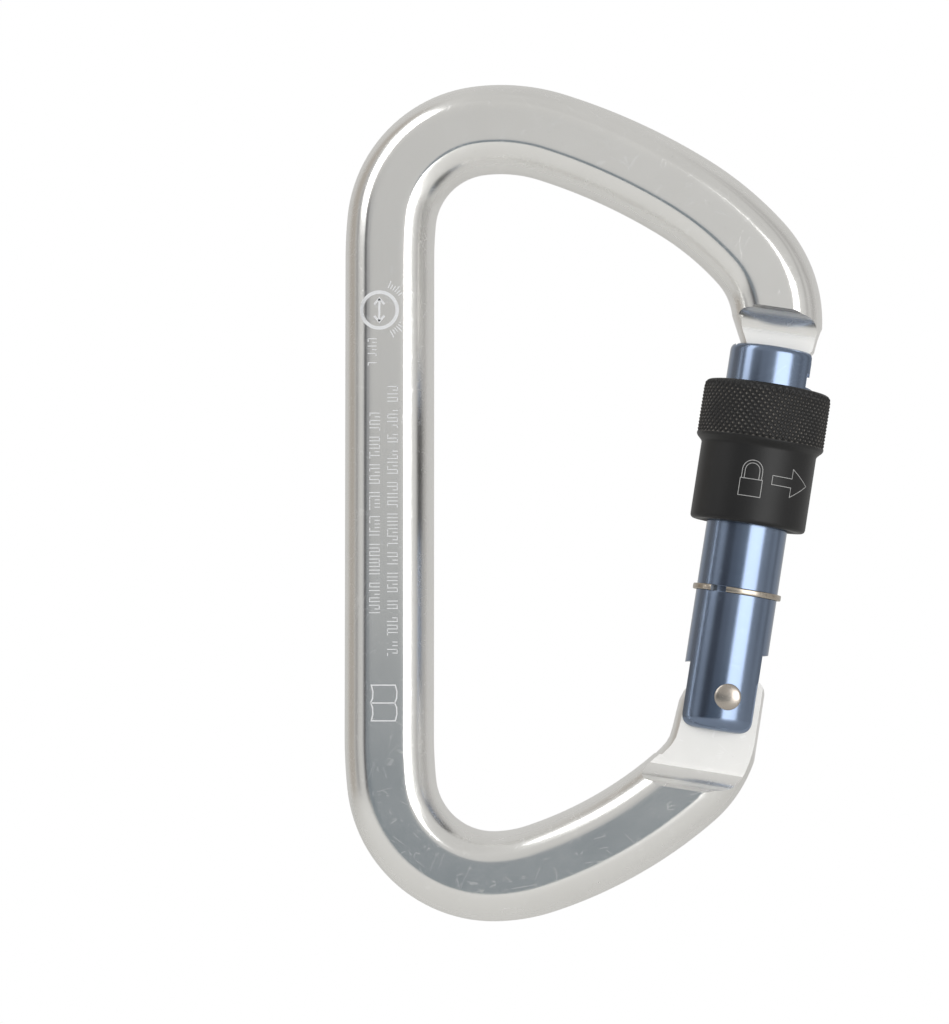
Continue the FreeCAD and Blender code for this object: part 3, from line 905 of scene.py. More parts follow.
    def tools(self) -> list[bpy.types.Object]:
        """Everything that is milled off the forged bar at its nose and its hinge.

        Returns:
            The closed tools.
        """
        across = np.linspace(-self.neck_reach, self.neck_reach, 53)
        wide = np.linspace(-self.tang_reach, self.tang_reach, 3)
        pivot = across - GATE.rivet_offset
        head = np.sqrt(self.key_head ** 2 - pivot ** 2)
        foot = np.sqrt(self.key_bottom ** 2 - pivot ** 2)
        low = np.full_like(across, self.below_key)
        high = np.full_like(wide, self.above_tang)
        made = []
        for face, name in ((-1, "front"), (1, "back")):
            neck = self.cutter(face, self.neck_half, self.neck_shoulder, -1, head, across)
            tang = self.cutter(face, self.tang_half, self.tang_shoulder, 1, high, wide)
            side = np.array([(self.depth, 1), (self.depth, 0), (self.key_half, 0), (self.key_half, 1)])
            beside_key = self.height_loops(across, low, head + self.overlap, side * (face, 1))
            made += [Sheets.loft(f"neck_{name}", neck), Sheets.loft(f"key_{name}", beside_key),
                     Sheets.loft(f"tang_{name}", tang)]
        box = np.array([(-1, 0), (1, 0), (1, 1), (-1, 1)]) * (self.tool_half, 1)
        crown = np.array(self.tang_crown)
        start, end = self.crown_run
        top_across = np.concatenate([crown[:1, 0], np.linspace(start, crown[-1, 0], 60), [end]])
        top = np.interp(top_across, *crown.T)
        clear, clear_from = self.tang_clear
        loops = {
            "key_end": self.height_loops(across, low, foot, box),
            "tang_top": self.height_loops(top_across, top, np.full_like(top, self.above_tang), box),
            "neck_inner": self.side_cut(self.neck_inner, self.neck_roll, -1),
            "neck_outer": self.side_cut(self.neck_outer, self.edge_roll, 1),
            "tang_inner": self.side_cut(self.tang_inner, self.neck_roll, -1),
            "tang_outer": self.side_cut(self.tang_outer, self.edge_roll, 1),
            "tang_clear": self.height_loops(np.array([-self.far, clear]), np.full(2, clear_from),
                                            np.full(2, self.above_tang), box),
            "rivet_hole": self.hole_loops(48),
        }
        return made + [Sheets.loft(name, rows) for name, rows in loops.items()]

    def hole_loops(self, count: int) -> np.ndarray:
        """The rivet's hole: two circles about the rivet, one past each face.

        Args:
            count: how many points a circle has.

        Returns:
            Loops for a loft along the depth.
        """
        turn = np.linspace(0.0, FULL_TURN, count, endpoint=False)
        loops = np.empty((2, count, 3))
        loops[..., 0] = GATE.rivet_offset + self.rivet_hole * np.cos(turn)
        loops[..., 1] = np.array([[-self.tool_half], [self.tool_half]])
        loops[..., 2] = self.rivet_hole * np.sin(turn)
        return loops

    @staticmethod
    def height_loops(across: np.ndarray, low: np.ndarray, high: np.ndarray, box: np.ndarray) -> np.ndarray:
        """A tool between two heights that vary with the across value: low + share (high - low).

        Args:
            across: where the loops stand.
            low: lower height at each.
            high: upper height at each.
            box: (depth, share of the height) of the loop's corners.

        Returns:
            Loops for a loft along the across direction.
        """
        loops = np.empty((len(across), len(box), 3))
        loops[..., 0] = across[:, None]
        loops[..., 1] = box[:, 0]
        loops[..., 2] = low[:, None] + box[:, 1] * (high - low)[:, None]
        return loops

    def build(self) -> bpy.types.Object:
        """Makes the ring: section (u, v) carried to station + u outward + v Y, then milled at both ends.

        Returns:
            The ring's mesh object.
        """
        section = self.section()
        stations, headings = self.route()
        outward = np.stack([np.sin(headings), -np.cos(headings)], axis=1)
        x = stations[:, None, 0] + section[None, :, 0] * outward[:, None, 0]
        z = stations[:, None, 1] + section[None, :, 0] * outward[:, None, 1]
        y = np.broadcast_to(section[None, :, 1], x.shape)
        grid = np.stack([x, y, z], axis=-1)
        caps = np.stack([stations[[0, -1], 0], [0.0, 0.0], stations[[0, -1], 1]], axis=-1)
        first = np.broadcast_to(caps[0], (1, len(section), 3))
        last = np.broadcast_to(caps[1], (1, len(section), 3))
        steps = np.hypot(*np.diff(stations, axis=0).T)
        length = np.concatenate([[0.0, 0.0], np.cumsum(steps), [steps.sum()]])
        grid = np.concatenate([first, grid, last])
        run = np.linspace(0.0, self.girth, len(section), endpoint=False)
        uv = np.stack(np.broadcast_arrays(length[:, None], run[None, :]), axis=-1)
        ring = Sheets.solid("ring_body_finish", grid, Sheets.quads(*grid.shape[:2], False, True), uv=uv)
        Sheets.cut(ring, self.tools(), self.sharp)
        return ring


@dataclass
class Lathe:
    """A closed shape turned about an axis of the gate's frame."""

    name: str
    segments: int
    uv_radius: float = 7.0

    def turn(self, profile: np.ndarray, ripple: np.ndarray | None = None) -> np.ndarray:
        """Grid of a turned surface: (r cos a, r sin a, h), with an optional change of radius.

        Args:
            profile: (radius, height) rows.
            ripple: optional change of radius, one row per profile point and one column per segment.

        Returns:
            (across, depth, along) points, a row per profile point.
        """
        angle = np.linspace(0.0, FULL_TURN, self.segments, endpoint=False)[None, :]
        radius = profile[:, :1] + (0.0 if ripple is None else ripple)
        height = np.broadcast_to(profile[:, 1:2], (len(profile), self.segments))
        return np.stack([radius * np.cos(angle), radius * np.sin(angle), height], axis=-1)

    @staticmethod
    def rounded(corners: list[tuple[float, float, float]], steps: int = 8) -> np.ndarray:
        """An open outline with rounded corners.

        Each corner is replaced by a quadratic curve between the points one rounding away on its two sides.

        Args:
            corners: (radius, height, rounding) in order; the first and last are kept as they are.
            steps: points on each rounded corner.

        Returns:
            (radius, height) points.
        """
        made = [np.array([corners[0][:2]])]
        t = np.linspace(0.0, 1.0, steps)[:, None]
        for before, here, after in zip(corners, corners[1:], corners[2:]):
            b, c, a = (np.array(p[:2], float) for p in (before, here, after))
            if here[2] <= 0:
                made.append(c[None, :])
                continue
            start = c + (b - c) / np.linalg.norm(b - c) * here[2]
            end = c + (a - c) / np.linalg.norm(a - c) * here[2]
            made.append((1 - t) ** 2 * start + 2 * t * (1 - t) * c + t ** 2 * end)
        made.append(np.array([corners[-1][:2]]))
        return np.concatenate(made)

    def solid(self, grid: np.ndarray, closed: bool, sharp: float) -> bpy.types.Object:
        """Makes the mesh of a turned grid, placed on the gate.

        Args:
            grid: points in the gate's axes.
            closed: whether the last row joins the first, as on a tube.
            sharp: edges that turn by more than this, in degrees, stay sharp.

        Returns:
            The mesh object.
        """
        quads = Sheets.quads(grid.shape[0], grid.shape[1], closed, True)
        rows = grid[..., 2]
        around = np.linspace(0.0, FULL_TURN, grid.shape[1], endpoint=False)[None, :] * self.uv_radius
        uv = np.stack([rows, np.broadcast_to(around, rows.shape)], axis=-1)
        return Sheets.solid(self.name, GATE.place(grid), quads, sharp, uv)


@dataclass
class GateTube:
    """The gate: a turned tube with a helical thread, a hinge slot in its foot and a key slot in its head.

    The key slot's floor, step and end are radii from the rivet; key_swing is an angle about it, in radians.
    """

    radius: float = 6.4
    head_radius: float = 6.85
    bottom: float = -5.5
    top: float = 55.5
    foot_round: float = 2.2
    head_round: float = 1.1
    bore: float = 2.9
    bore_top: float = 25.5
    dome: float = 0.25
    thread_start: float = 28.0
    thread_end: float = 47.0
    thread_pitch: float = 2.0
    thread_depth: float = 0.45
    thread_slope: float = 1.7
    thread_crest: float = 0.25
    thread_row: float = 0.12
    thread_foot: float = 0.5
    thread_fade: Pair = (0.3, 1.3)
    groove_height: float = 16.6
    groove_half: float = 0.47
    groove_radius: float = 6.0
    groove_round: float = 0.05
    slot_half: float = 3.25
    slot_inner_top: float = 4.5
    slot_outer_top: float = 7.4
    key_half: float = 3.05
    key_head_half: float = 3.7
    key_floor: float = 50.2
    key_step: float = 52.4
    key_end: float = 60.5
    key_back: float = -5.35
    key_swing: float = 0.4
    key_rows: int = 33
    clear: float = 3.0
    sharp: float = 35.0

    def profile(self) -> np.ndarray:
        """Outline from the head's centre down the outside and back up the spring bore.

        Returns:
            (radius, height) points.
        """
        head, side = self.head_radius, self.radius
        top, low = self.groove_height + self.groove_half, self.groove_height - self.groove_half
        corners = [(0.0, self.top + self.dome, 0.0), (head, self.top, self.head_round),
                   (head, self.thread_end, 0.0)]
        turns = np.arange(self.thread_end - self.thread_row, self.thread_start, -self.thread_row)
        thread = np.stack([np.full_like(turns, head), turns], axis=1)
        groove = [(side, top), (self.groove_radius, top), (self.groove_radius, low), (side, low)]
        lower = [(head, self.thread_start, 0.0), (side, self.thread_start - self.thread_foot, 0.1),
                 *((*corner, self.groove_round) for corner in groove),
                 (side, self.bottom, self.foot_round), (self.bore, self.bottom, 0.2),
                 (self.bore, self.bore_top, 0.0), (0.0, self.bore_top, 0.0)]
        return np.concatenate([Lathe.rounded(corners), thread, Lathe.rounded(lower, 12)])

    def thread(self, profile: np.ndarray, segments: int) -> np.ndarray:
        """Depth of the thread: a helical V, 1 - |2 frac(h / pitch - a / turn) - 1|, faded at both ends.

        It is steepened, lowered and cut off at 0 and 1, so that crests and roots are flat.

        Args:
            profile: (radius, height) rows.
            segments: how many columns the surface has.

        Returns:
            The change of radius at each grid point.
        """
        height = profile[:, 1:2]
        turn = np.linspace(0.0, 1.0, segments, endpoint=False)[None, :]
        phase = np.mod(height / self.thread_pitch - turn, 1.0)
        vee = 1.0 - np.abs(2.0 * phase - 1.0)
        vee = np.clip(self.thread_slope * vee - self.thread_crest, 0.0, 1.0)
        near, far = self.thread_fade
        inside = ease(height, self.thread_start + near, self.thread_start + far)
        inside = inside * (1.0 - ease(height, self.thread_end - far, self.thread_end - near))
        outside = (profile[:, :1] > self.head_radius - 0.01) & (height < self.thread_end)
        return -self.thread_depth * vee * inside * outside

    def slot_tool(self) -> bpy.types.Object:
        """The hinge slot's tool: its top slopes from the inner side up to the outer side.

        Returns:
            The tool.
        """
        wide = self.head_radius + self.clear
        slope = (self.slot_outer_top - self.slot_inner_top) / (2 * self.radius)
        middle = (self.slot_outer_top + self.slot_inner_top) / 2
        corners = np.array([(-wide, -wide), (wide, -wide), (wide, middle + slope * wide),
                            (-wide, middle - slope * wide)])
        loops = np.zeros((2, 4, 3))
        loops[..., [0, 2]] = corners
        loops[..., 1] = np.array([-self.slot_half, self.slot_half])[:, None]
        return Sheets.loft("slot_tool", loops)

    def key_tool(self, name: str, inner: float, outer: float, half: float) -> bpy.types.Object:
        """A curved slot about the rivet: loops at (radius, swing) with two depths, swung round the hinge.

        Args:
            name: the tool's name.
            inner: lower radius from the rivet.
            outer: upper radius from the rivet.
            half: half of the slot's width.

        Returns:
            The tool.
        """
        back = math.asin((self.key_back - GATE.rivet_offset) / inner)
        swing = np.linspace(back, self.key_swing, self.key_rows)[:, None]
        radius = np.array([inner, outer, outer, inner])
        loops = np.empty((self.key_rows, 4, 3))
        loops[..., 0] = GATE.rivet_offset + radius * np.sin(swing)
        loops[..., 1] = np.array([-half, -half, half, half])
        loops[..., 2] = radius * np.cos(swing)
        return Sheets.loft(name, loops)

    def build(self) -> bpy.types.Object:
        """Turns the tube, then cuts the hinge slot and the two widths of the key slot.

        Returns:
            The gate's mesh object.
        """
        lathe = Lathe("gate_finish", 240)
        profile = self.profile()
        grid = lathe.turn(profile, self.thread(profile, lathe.segments))
        gate = lathe.solid(grid, False, self.sharp)
        tools = [self.slot_tool(),
                 self.key_tool("key_tool", self.key_floor, self.key_end, self.key_half),
                 self.key_tool("key_head_tool", self.key_floor, self.key_step, self.key_head_half)]
        Sheets.cut(gate, tools, self.sharp)
        return gate


@dataclass
class Sleeve:
    """The locking sleeve: plain barrel, knurled collar and stepped bore."""

    bottom: float = 27.2
    length: float = 22.2
    barrel_radius: float = 9.15
    barrel_top: float = 12.3
    collar_radius: float = 10.1
    collar_start: float = 13.1
    bore: float = 7.35
    entry_bore: float = 7.05
    thread_bore: float = 6.9
    thread_start: float = 5.0
    thread_end: float = 13.0
    groove_start: float = 13.4
    groove_end: float = 14.6
    groove_radius: float = 8.0
    knurls: int = 60
    knurl_depth: float = 0.32
    knurl_lead: float = 1.06
    knurl_row: float = 0.13
    foot_bevel: float = 0.5
    foot_round: float = 0.75
    collar_round: float = 1.3
    round_points: int = 10

    def outline(self) -> tuple[np.ndarray, np.ndarray]:
        """The sleeve's outline and which of its rows carry the knurl.

        Returns:
            (radius, height) points of a closed loop, and a true or false for each.
        """
        top, barrel, collar = self.length, self.barrel_radius, self.collar_radius
        low = Lathe.rounded([(self.entry_bore + self.foot_bevel, 0.0, 0.0), (barrel, 0.0, self.foot_round),
                             (barrel, self.barrel_top, 0.3), (collar - 0.15, self.collar_start, 0.12),
                             (collar, self.collar_start + 0.3, 0.0)])
        height = np.arange(self.collar_start + 0.4, top - self.collar_round, self.knurl_row)
        knurled = np.stack([np.full_like(height, collar), height], axis=1)
        inside = [(self.bore, self.groove_end), (self.groove_radius, self.groove_end),
                  (self.groove_radius, self.groove_start), (self.thread_bore, self.groove_start)]
        upper = Lathe.rounded([(collar, top - self.collar_round, 0.0),
                               (collar, top, self.collar_round - 0.05),
                               (self.bore + 0.35, top, 0.1), (self.bore, top - 0.4, 0.1),
                               *((*corner, 0.0) for corner in inside),
                               (self.thread_bore, self.thread_start, 0.1),
                               (self.entry_bore, self.thread_start - 0.2, 0.0),
                               (self.entry_bore, self.foot_bevel, 0.1),
                               (self.entry_bore + self.foot_bevel, 0.0, 0.0)], self.round_points)
        outline = np.concatenate([low, knurled, upper])
        mask = np.zeros(len(outline), bool)
        mask[len(low):len(low) + len(knurled) + self.round_points - 2] = True
        return outline[:-1], mask[:-1]

    def knurl(self, height: np.ndarray, segments: int) -> np.ndarray:
        """Diamond knurl: the product of two helical ridges, |sin| waves that wind opposite ways.

        Args:
            height: height of each row above the collar's foot.
            segments: how many columns the surface has.

        Returns:
            0 in the grooves to 1 on the diamonds' tips.
        """
        turn = np.linspace(0.0, 1.0, segments, endpoint=False)[None, :] * self.knurls
        rise = height[:, None] / self.knurl_lead
        first = np.abs(2.0 * np.mod(turn + rise, 1.0) - 1.0)
        second = np.abs(2.0 * np.mod(turn - rise, 1.0) - 1.0)
        return np.clip(1.12 * np.minimum(1.0 - first, 1.0 - second), 0.0, 1.0)

    def build(self) -> bpy.types.Object:
        """Turns the sleeve and presses the knurl into its collar.

        Returns:
            The sleeve's mesh object.
        """
        lathe = Lathe("locking_sleeve_finish", 600)
        outline, mask = self.outline()
        tips = self.knurl(outline[:, 1] - self.collar_start, lathe.segments) * mask[:, None]
        fade = ease(outline[:, 1], self.collar_start + 0.35, self.collar_start + 0.7)
        fade = fade * (1.0 - ease(outline[:, 1], self.length - 0.8, self.length - 0.1)) * mask
        ripple = (tips - 1.0) * self.knurl_depth * fade[:, None]
        profile = outline + np.array([0.0, self.bottom])
        grid = lathe.turn(profile, ripple)
        quads = Sheets.quads(*grid.shape[:2], True, True)
        sleeve = Sheets.solid(lathe.name, GATE.place(grid), quads, 50.0)
        self.paint_tips(sleeve)
        return sleeve

    def paint_tips(self, sleeve: bpy.types.Object) -> None:
        """Stores how near each point is to a knurl's tip, from its distance to the sleeve's axis.

        Args:
            sleeve: the sleeve's mesh object.
        """
        mesh = sleeve.data
        points = np.empty(len(mesh.vertices) * 3, np.float32)
        mesh.vertices.foreach_get("co", points)
        local = GATE.read(points.reshape(-1, 3).astype(float) / MM)
        radius = np.hypot(local[:, 0], local[:, 1])
        tip = np.clip((radius - self.collar_radius + self.knurl_depth) / self.knurl_depth, 0.0, 1.0)
        tip = tip * (local[:, 2] > self.bottom + self.collar_start + 0.5)
        mesh.attributes.new("knurl_tip", "FLOAT", "POINT").data.foreach_set("value", tip.astype(np.float32))


@dataclass
class Rivet:
    """The hinge rivet, with a domed head at each end."""

    radius: float = 1.6
    head_radius: float = 2.1
    seat: float = 5.4
    edge: float = 6.25
    crown: float = 6.85

    def build(self) -> bpy.types.Object:
        """Turns the rivet about its own axis: (r cos a, h, r sin a) at the rivet's offset.

        Returns:
            The rivet's mesh object.
        """
        t = np.linspace(0.0, 1.0, 16)
        dome = np.stack([self.head_radius * np.sin(t * math.pi / 2),
                         self.edge + (self.crown - self.edge) * np.cos(t * math.pi / 2)], axis=1)
        half = np.concatenate([dome, [[self.head_radius, self.seat], [self.radius, self.seat]]])
        lathe = Lathe("hinge_rivet_finish", 72)
        grid = lathe.turn(np.concatenate([half, half[::-1] * (1, -1)]))[..., [0, 2, 1]]
        grid[..., 0] += GATE.rivet_offset
        return Sheets.solid(lathe.name, GATE.place(grid), Sheets.quads(*grid.shape[:2], False, True))


@dataclass
class Clip:
    """The split retaining ring: a rounded square wire bent round the gate, open at its gap."""

    height: float = 16.6
    inner: float = 6.02
    outer: float = 7.0
    thickness: float = 0.9
    gap_centre: float = -114.5
    gap: float = 22.0
    square: float = 0.35
    rows: int = 220
    columns: int = 28

    def build(self) -> bpy.types.Object:
        """Carries a superellipse section round the gate: (R + a c) cos, (R + a c) sin, h + b s.

        Returns:
            The clip's mesh object.
        """
        around = np.linspace(0.0, FULL_TURN, self.columns, endpoint=False)
        c, s = np.cos(around), np.sin(around)
        a = (self.outer - self.inner) / 2 * np.sign(c) * np.abs(c) ** self.square
        b = self.thickness / 2 * np.sign(s) * np.abs(s) ** self.square
        half_gap = math.radians(self.gap / 2)
        centre = math.radians(self.gap_centre)
        angle = np.linspace(centre + half_gap, centre + FULL_TURN - half_gap, self.rows)[:, None]
        middle = (self.outer + self.inner) / 2
        body = np.stack([(middle + a) * np.cos(angle), (middle + a) * np.sin(angle),
                         np.broadcast_to(self.height + b, (self.rows, self.columns))], axis=-1)
        shrink = np.linspace(0.0, 1.0, 5)[:-1, None, None]
        ends = []
        for edge, size in ((body[:1], shrink), (body[-1:], shrink[::-1])):
            heart = edge.mean(axis=1, keepdims=True)
            ends.append(heart + (edge - heart) * size)
        grid = np.concatenate([ends[0], body, ends[1]])
        quads = Sheets.quads(*grid.shape[:2], False, True)
        return Sheets.solid("retaining_clip_finish", GATE.place(grid), quads)


@dataclass
class Pen:
    """Draws thin flat lines on a surface given by a function of two lengths."""

    line: float
    lift: float = 0.012
    strokes: list[tuple[np.ndarray, np.ndarray, bool]] = field(default_factory=list)

    def path(self, points: np.ndarray, closed: bool = False, line: float = 0.0) -> None:
        """Adds a stroke of constant width: each point moves half a width each way along its mitre.

        Args:
            points: (u, v) places in millimetres.
            closed: whether the last point joins the first.
            line: the stroke's width, or 0 for the pen's own.
        """
        p = np.asarray(points, float)
        before = np.roll(p, 1, axis=0) if closed else np.concatenate([p[:1] * 2 - p[1:2], p[:-1]])
        after = np.roll(p, -1, axis=0) if closed else np.concatenate([p[1:], p[-1:] * 2 - p[-2:-1]])
        d1 = (p - before) / np.linalg.norm(p - before, axis=1, keepdims=True)
        d2 = (after - p) / np.linalg.norm(after - p, axis=1, keepdims=True)
        n1, n2 = (np.stack([-d[:, 1], d[:, 0]], axis=1) for d in (d1, d2))
        mitre = n1 + n2
        mitre = mitre / np.maximum(np.einsum("ij,ij->i", mitre, n1), 0.35)[:, None]
        half = (line or self.line) / 2
        self.strokes.append((p + mitre * half, p - mitre * half, closed))

    def build(self, name: str, surface: Callable[..., np.ndarray]) -> bpy.types.Object:
        """Makes every stroke as a thin closed slab that stands a hair above the surface.

        Args:
            name: the piece's name.
            surface: takes (u, v, lift) arrays to points in the frame, in millimetres.

        Returns:
            The mesh object.
        """
        points, quads, base = [], [], 0
        for left, right, closed in self.strokes:
            lifts = (self.lift, self.lift, -self.lift, -self.lift)
            rows = [surface(edge[:, 0], edge[:, 1], lift)
                    for edge, lift in zip((left, right, right, left), lifts)]
            grid = np.stack(rows, axis=1)
            count = len(grid)
            made = Sheets.quads(count, 4, closed, True)
            if not closed:
                last = (count - 1) * 4
                made = np.concatenate([made, [[3, 2, 1, 0], [last, last + 1, last + 2, last + 3]]])
            points.append(grid.reshape(-1, 3))
            quads.append(made + base)
            base += count * 4
        return Sheets.solid(name, np.concatenate(points), np.concatenate(quads), 30.0)


def arc_points(centre: Pair, radius: float, start: float, end: float, count: int) -> np.ndarray:
    """Points on an arc: centre + radius (cos, sin).

    Args:
        centre: the arc's centre.
        radius: its radius.
        start: first angle, in degrees.
        end: last angle, in degrees.
        count: how many points.

    Returns:
        (u, v) points.
    """
    angle = np.radians(np.linspace(start, end, count))
    return np.array(centre) + radius * np.stack([np.cos(angle), np.sin(angle)], axis=1)


@dataclass
class RingMarks:
    """Generic etched marks on the spine's front face."""

    spine: float = -17.5
    face: float = -6.7
    flat_middle: float = -0.2
    flat_half: float = 3.0
    bevel: float = 0.655
    line: float = 0.14
    circle: Pair = (-0.97, -22.45)
    circle_radius: float = 2.85
    circle_line: float = 0.55
    arrow_line: float = 0.34
    scale_start: float = 3.75
    scale_ticks: Pair = (4.55, 4.95)
    scale_line: float = 0.16
    book_middle: Pair = (-0.25, -84.5)
    book_line: float = 0.2
    rows: tuple[tuple[float, float, float, float, int], ...] = (
        (1.17, 0.85, -34.6, -77.2, 7), (-1.67, 0.85, -38.8, -71.4, 19), (-2.1, 0.7, -27.0, -31.3, 5))

    def on_face(self, u: np.ndarray, v: np.ndarray, lift: float) -> np.ndarray:
        """Places marks on the spine: x = spine + u, z = v, y on the flat and, past its edge, down the bevel.

        Args:
            u: across the spine.
            v: up the spine.
            lift: height above the face.

        Returns:
            Points in the frame.
        """
        past = np.maximum(np.abs(u - self.flat_middle) - self.flat_half, 0.0)
        return np.stack([self.spine + u, self.face - lift + past * self.bevel, v], axis=-1)

    def build(self) -> bpy.types.Object:
        """Draws a load symbol in a ring with a scale beside it, three rows of tally strokes and an open book.

        Returns:
            The marks' mesh object.
        """
        pen = Pen(self.line)
        pen.path(arc_points(self.circle, self.circle_radius, 0, 360, 73)[:-1], True, self.circle_line)
        self.load_arrow(pen)
        self.scale(pen)
        for row in self.rows:
            self.tally(pen, *row)
        self.book(pen)
        return pen.build("etched_marks", self.on_face)

    def scale(self, pen: Pen) -> None:
        """Draws an arc of radial ticks, every third one longer, to the right of the ring.

        Args:
            pen: the pen.
        """
        short, long = self.scale_ticks
        for number, angle in enumerate(np.radians(np.linspace(68.0, -62.0, 22))):
            way = np.array([math.cos(angle), math.sin(angle)])
            reach = short if number % 3 else long
            tick = np.array(self.circle) + np.array([[self.scale_start], [reach]]) * way
            pen.path(tick, False, self.scale_line)

    def load_arrow(self, pen: Pen) -> None:
        """Draws a double-headed arrow along the spine, in the middle of the ring.

        Args:
            pen: the pen.
        """
        c = np.array(self.circle)
        pen.path(c + np.array([(0.0, -1.8), (0.0, 1.8)]), False, self.arrow_line)
        for end in (-1, 1):
            head = np.array([(-0.8, end * 0.9), (0.0, end * 1.85), (0.8, end * 0.9)])
            pen.path(c + head, False, self.arrow_line)

    @staticmethod
    def tally(pen: Pen, across: float, half: float, top: float, bottom: float, seed: int) -> None:
        """Draws a row of short strokes in uneven groups, like a tally: some whole, some short, some barred.

        Args:
            pen: the pen.
            across: the row's middle.
            half: half of a whole stroke's length.
            top: height of its first stroke.
            bottom: height of its last stroke.
            seed: sets the grouping.
        """
        whole, barred, bar, pitch, gap = 0.3, 0.5, 0.45, 0.58, 0.9
        random = np.random.default_rng(seed)
        height, left = top, 5
        while height > bottom:
            low = -half if random.random() > whole else 0.0
            pen.path(np.array([(across + low, height), (across + half, height)]))
            if random.random() > barred:
                edge = across + half * random.choice([-1.0, 1.0]) * 0.9
                pen.path(np.array([(edge, height), (edge, height - bar)]))
            height -= pitch
            left -= 1
            if left == 0:
                height -= gap
                left = random.integers(3, 10)

    def book(self, pen: Pen) -> None:
        """Draws an open book: two pages with curved edges and the fold between them.

        Args:
            pen: the pen.
        """
        c = np.array(self.book_middle)
        for side in (-1, 1):
            page = np.array([(1.8, 0.0), (2.1, side * 0.7), (2.15, side * 1.8), (1.9, side * 2.8),
                             (-1.9, side * 2.8), (-1.65, side * 1.8), (-1.7, side * 0.7), (-2.0, 0.0)])
            pen.path(c + page, False, self.book_line)
        pen.path(c + np.array([(1.8, 0.0), (-2.0, 0.0)]), False, self.book_line)


@dataclass
class SleeveMarks:
    """The padlock and arrow outlines on the barrel, which say which way locks it."""

    radius: float = 9.15
    height: float = 34.1
    padlock: float = -2.0
    arrow: float = 18.6
    arrow_height: float = 34.44
    line: float = 0.1
    step: float = 0.3
    lock_half: float = 1.75
    lock_drop: float = 2.7
    shackle_rise: float = 1.35
    shackles: Pair = (1.6, 1.15)
    shaft_half: float = 0.71
    shaft: float = 3.46
    tip: float = 7.2
    barb: float = 2.2

    def on_barrel(self, u: np.ndarray, v: np.ndarray, lift: float) -> np.ndarray:
        """Wraps marks on the barrel: an angle of u / radius from the front, and a height of v.

        Args:
            u: length round the barrel from the front.
            v: height above the rivet.
            lift: height above the surface.

        Returns:
            Points in the frame.
        """
        angle = u / self.radius - math.pi / 2
        radius = self.radius + lift
        return GATE.place(np.stack([radius * np.cos(angle), radius * np.sin(angle), v], axis=-1))

    def fine(self, points: list[Pair]) -> np.ndarray:
        """Adds points along a closed outline so that it follows the barrel.

        Args:
            points: the outline's corners.

        Returns:
            Points about one step apart.
        """
        p = np.array(points + points[:1], float)
        runs = []
        for a, b in zip(p, p[1:]):
            count = max(2, int(np.linalg.norm(b - a) / self.step))
            runs.append(a + np.linspace(0, 1, count, endpoint=False)[:, None] * (b - a))
        return np.concatenate(runs)

    def build(self) -> bpy.types.Object:
        """Draws both outlines.

        Returns:
            The marks' mesh object.
        """
        pen = Pen(self.line)
        u, v = math.radians(self.padlock) * self.radius, self.height
        left, right, foot = u - self.lock_half, u + self.lock_half, v - self.lock_drop
        pen.path(self.fine([(left, foot), (right, foot), (right, v), (left, v)]), True)
        for half in self.shackles:
            arch = arc_points((u, v + self.shackle_rise), half, 0, 180, 15)
            pen.path(np.concatenate([[(u + half, v)], arch, [(u - half, v)]]), False)
        a, b = math.radians(self.arrow) * self.radius, self.arrow_height
        neck, low, high = a + self.shaft, b - self.shaft_half, b + self.shaft_half
        pen.path(self.fine([(a, low), (neck, low), (neck, b - self.barb), (a + self.tip, b),
                            (neck, b + self.barb), (neck, high), (a, high)]), True)
        return pen.build("sleeve_marks", self.on_barrel)


def aimed(place: Vector, direction: Vector) -> Matrix:
    """Where a camera or a light stands, looking along a direction with Z up."""
    return Matrix.Translation(place) @ direction.to_track_quat("-Z", "Y").to_matrix().to_4x4()


@dataclass(frozen=True)
class Wall:
    """A darker part of the room, by its angles from the camera's side and from the horizon, in degrees."""

    azimuth: Pair
    elevation: Pair
    colour: Colour
    soft: float
    soft_up: float


WALLS = (
    Wall((-60.0, -9.0), (-45.0, 9.0), (0.32, 0.32, 0.33), 10.0, 8.0),
    Wall((-53.0, -28.0), (-40.0, 14.0), (0.12, 0.12, 0.125), 12.0, 6.0),
    Wall((-95.0, -76.0), (-40.0, 40.0), (0.34, 0.335, 0.33), 8.0, 12.0),
    Wall((-34.0, 13.0), (-24.0, 1.1), (0.185, 0.222, 0.25), 3.0, 3.6),
    Wall((78.0, 90.0), (-60.0, 60.0), (0.43, 0.42, 0.41), 10.0, 20.0),
    Wall((105.0, 118.0), (-60.0, 60.0), (0.40, 0.39, 0.38), 6.0, 20.0),
    Wall((-126.0, -99.0), (-60.0, 60.0), (0.42, 0.385, 0.345), 10.0, 20.0),
)


@dataclass(frozen=True)
class SoftBox:
    """An area light aimed at the object: angles in degrees as a Wall's, distance and size in metres."""

    name: str
    azimuth: float
    elevation: float
    distance: float
    size: Pair
    radiance: float
    middle: Point = (0.01, 0.0, -0.055)

    def build(self) -> None:
        """Places the light; its power is pi times its radiance times its area."""
        data = bpy.data.lights.new(self.name, "AREA")
        data.shape = "RECTANGLE"
        data.size, data.size_y = self.size
        data.energy = math.pi * self.radiance * self.size[0] * self.size[1]
        a, e = math.radians(self.azimuth), math.radians(self.elevation)
        offset = Vector((math.sin(a) * math.cos(e), -math.cos(a) * math.cos(e), math.sin(e)))
        light = bpy.data.objects.new(self.name, data)
        light.visible_camera = False
        light.matrix_world = aimed(Vector(self.middle) + offset * self.distance, -offset)
        bpy.context.scene.collection.objects.link(light)


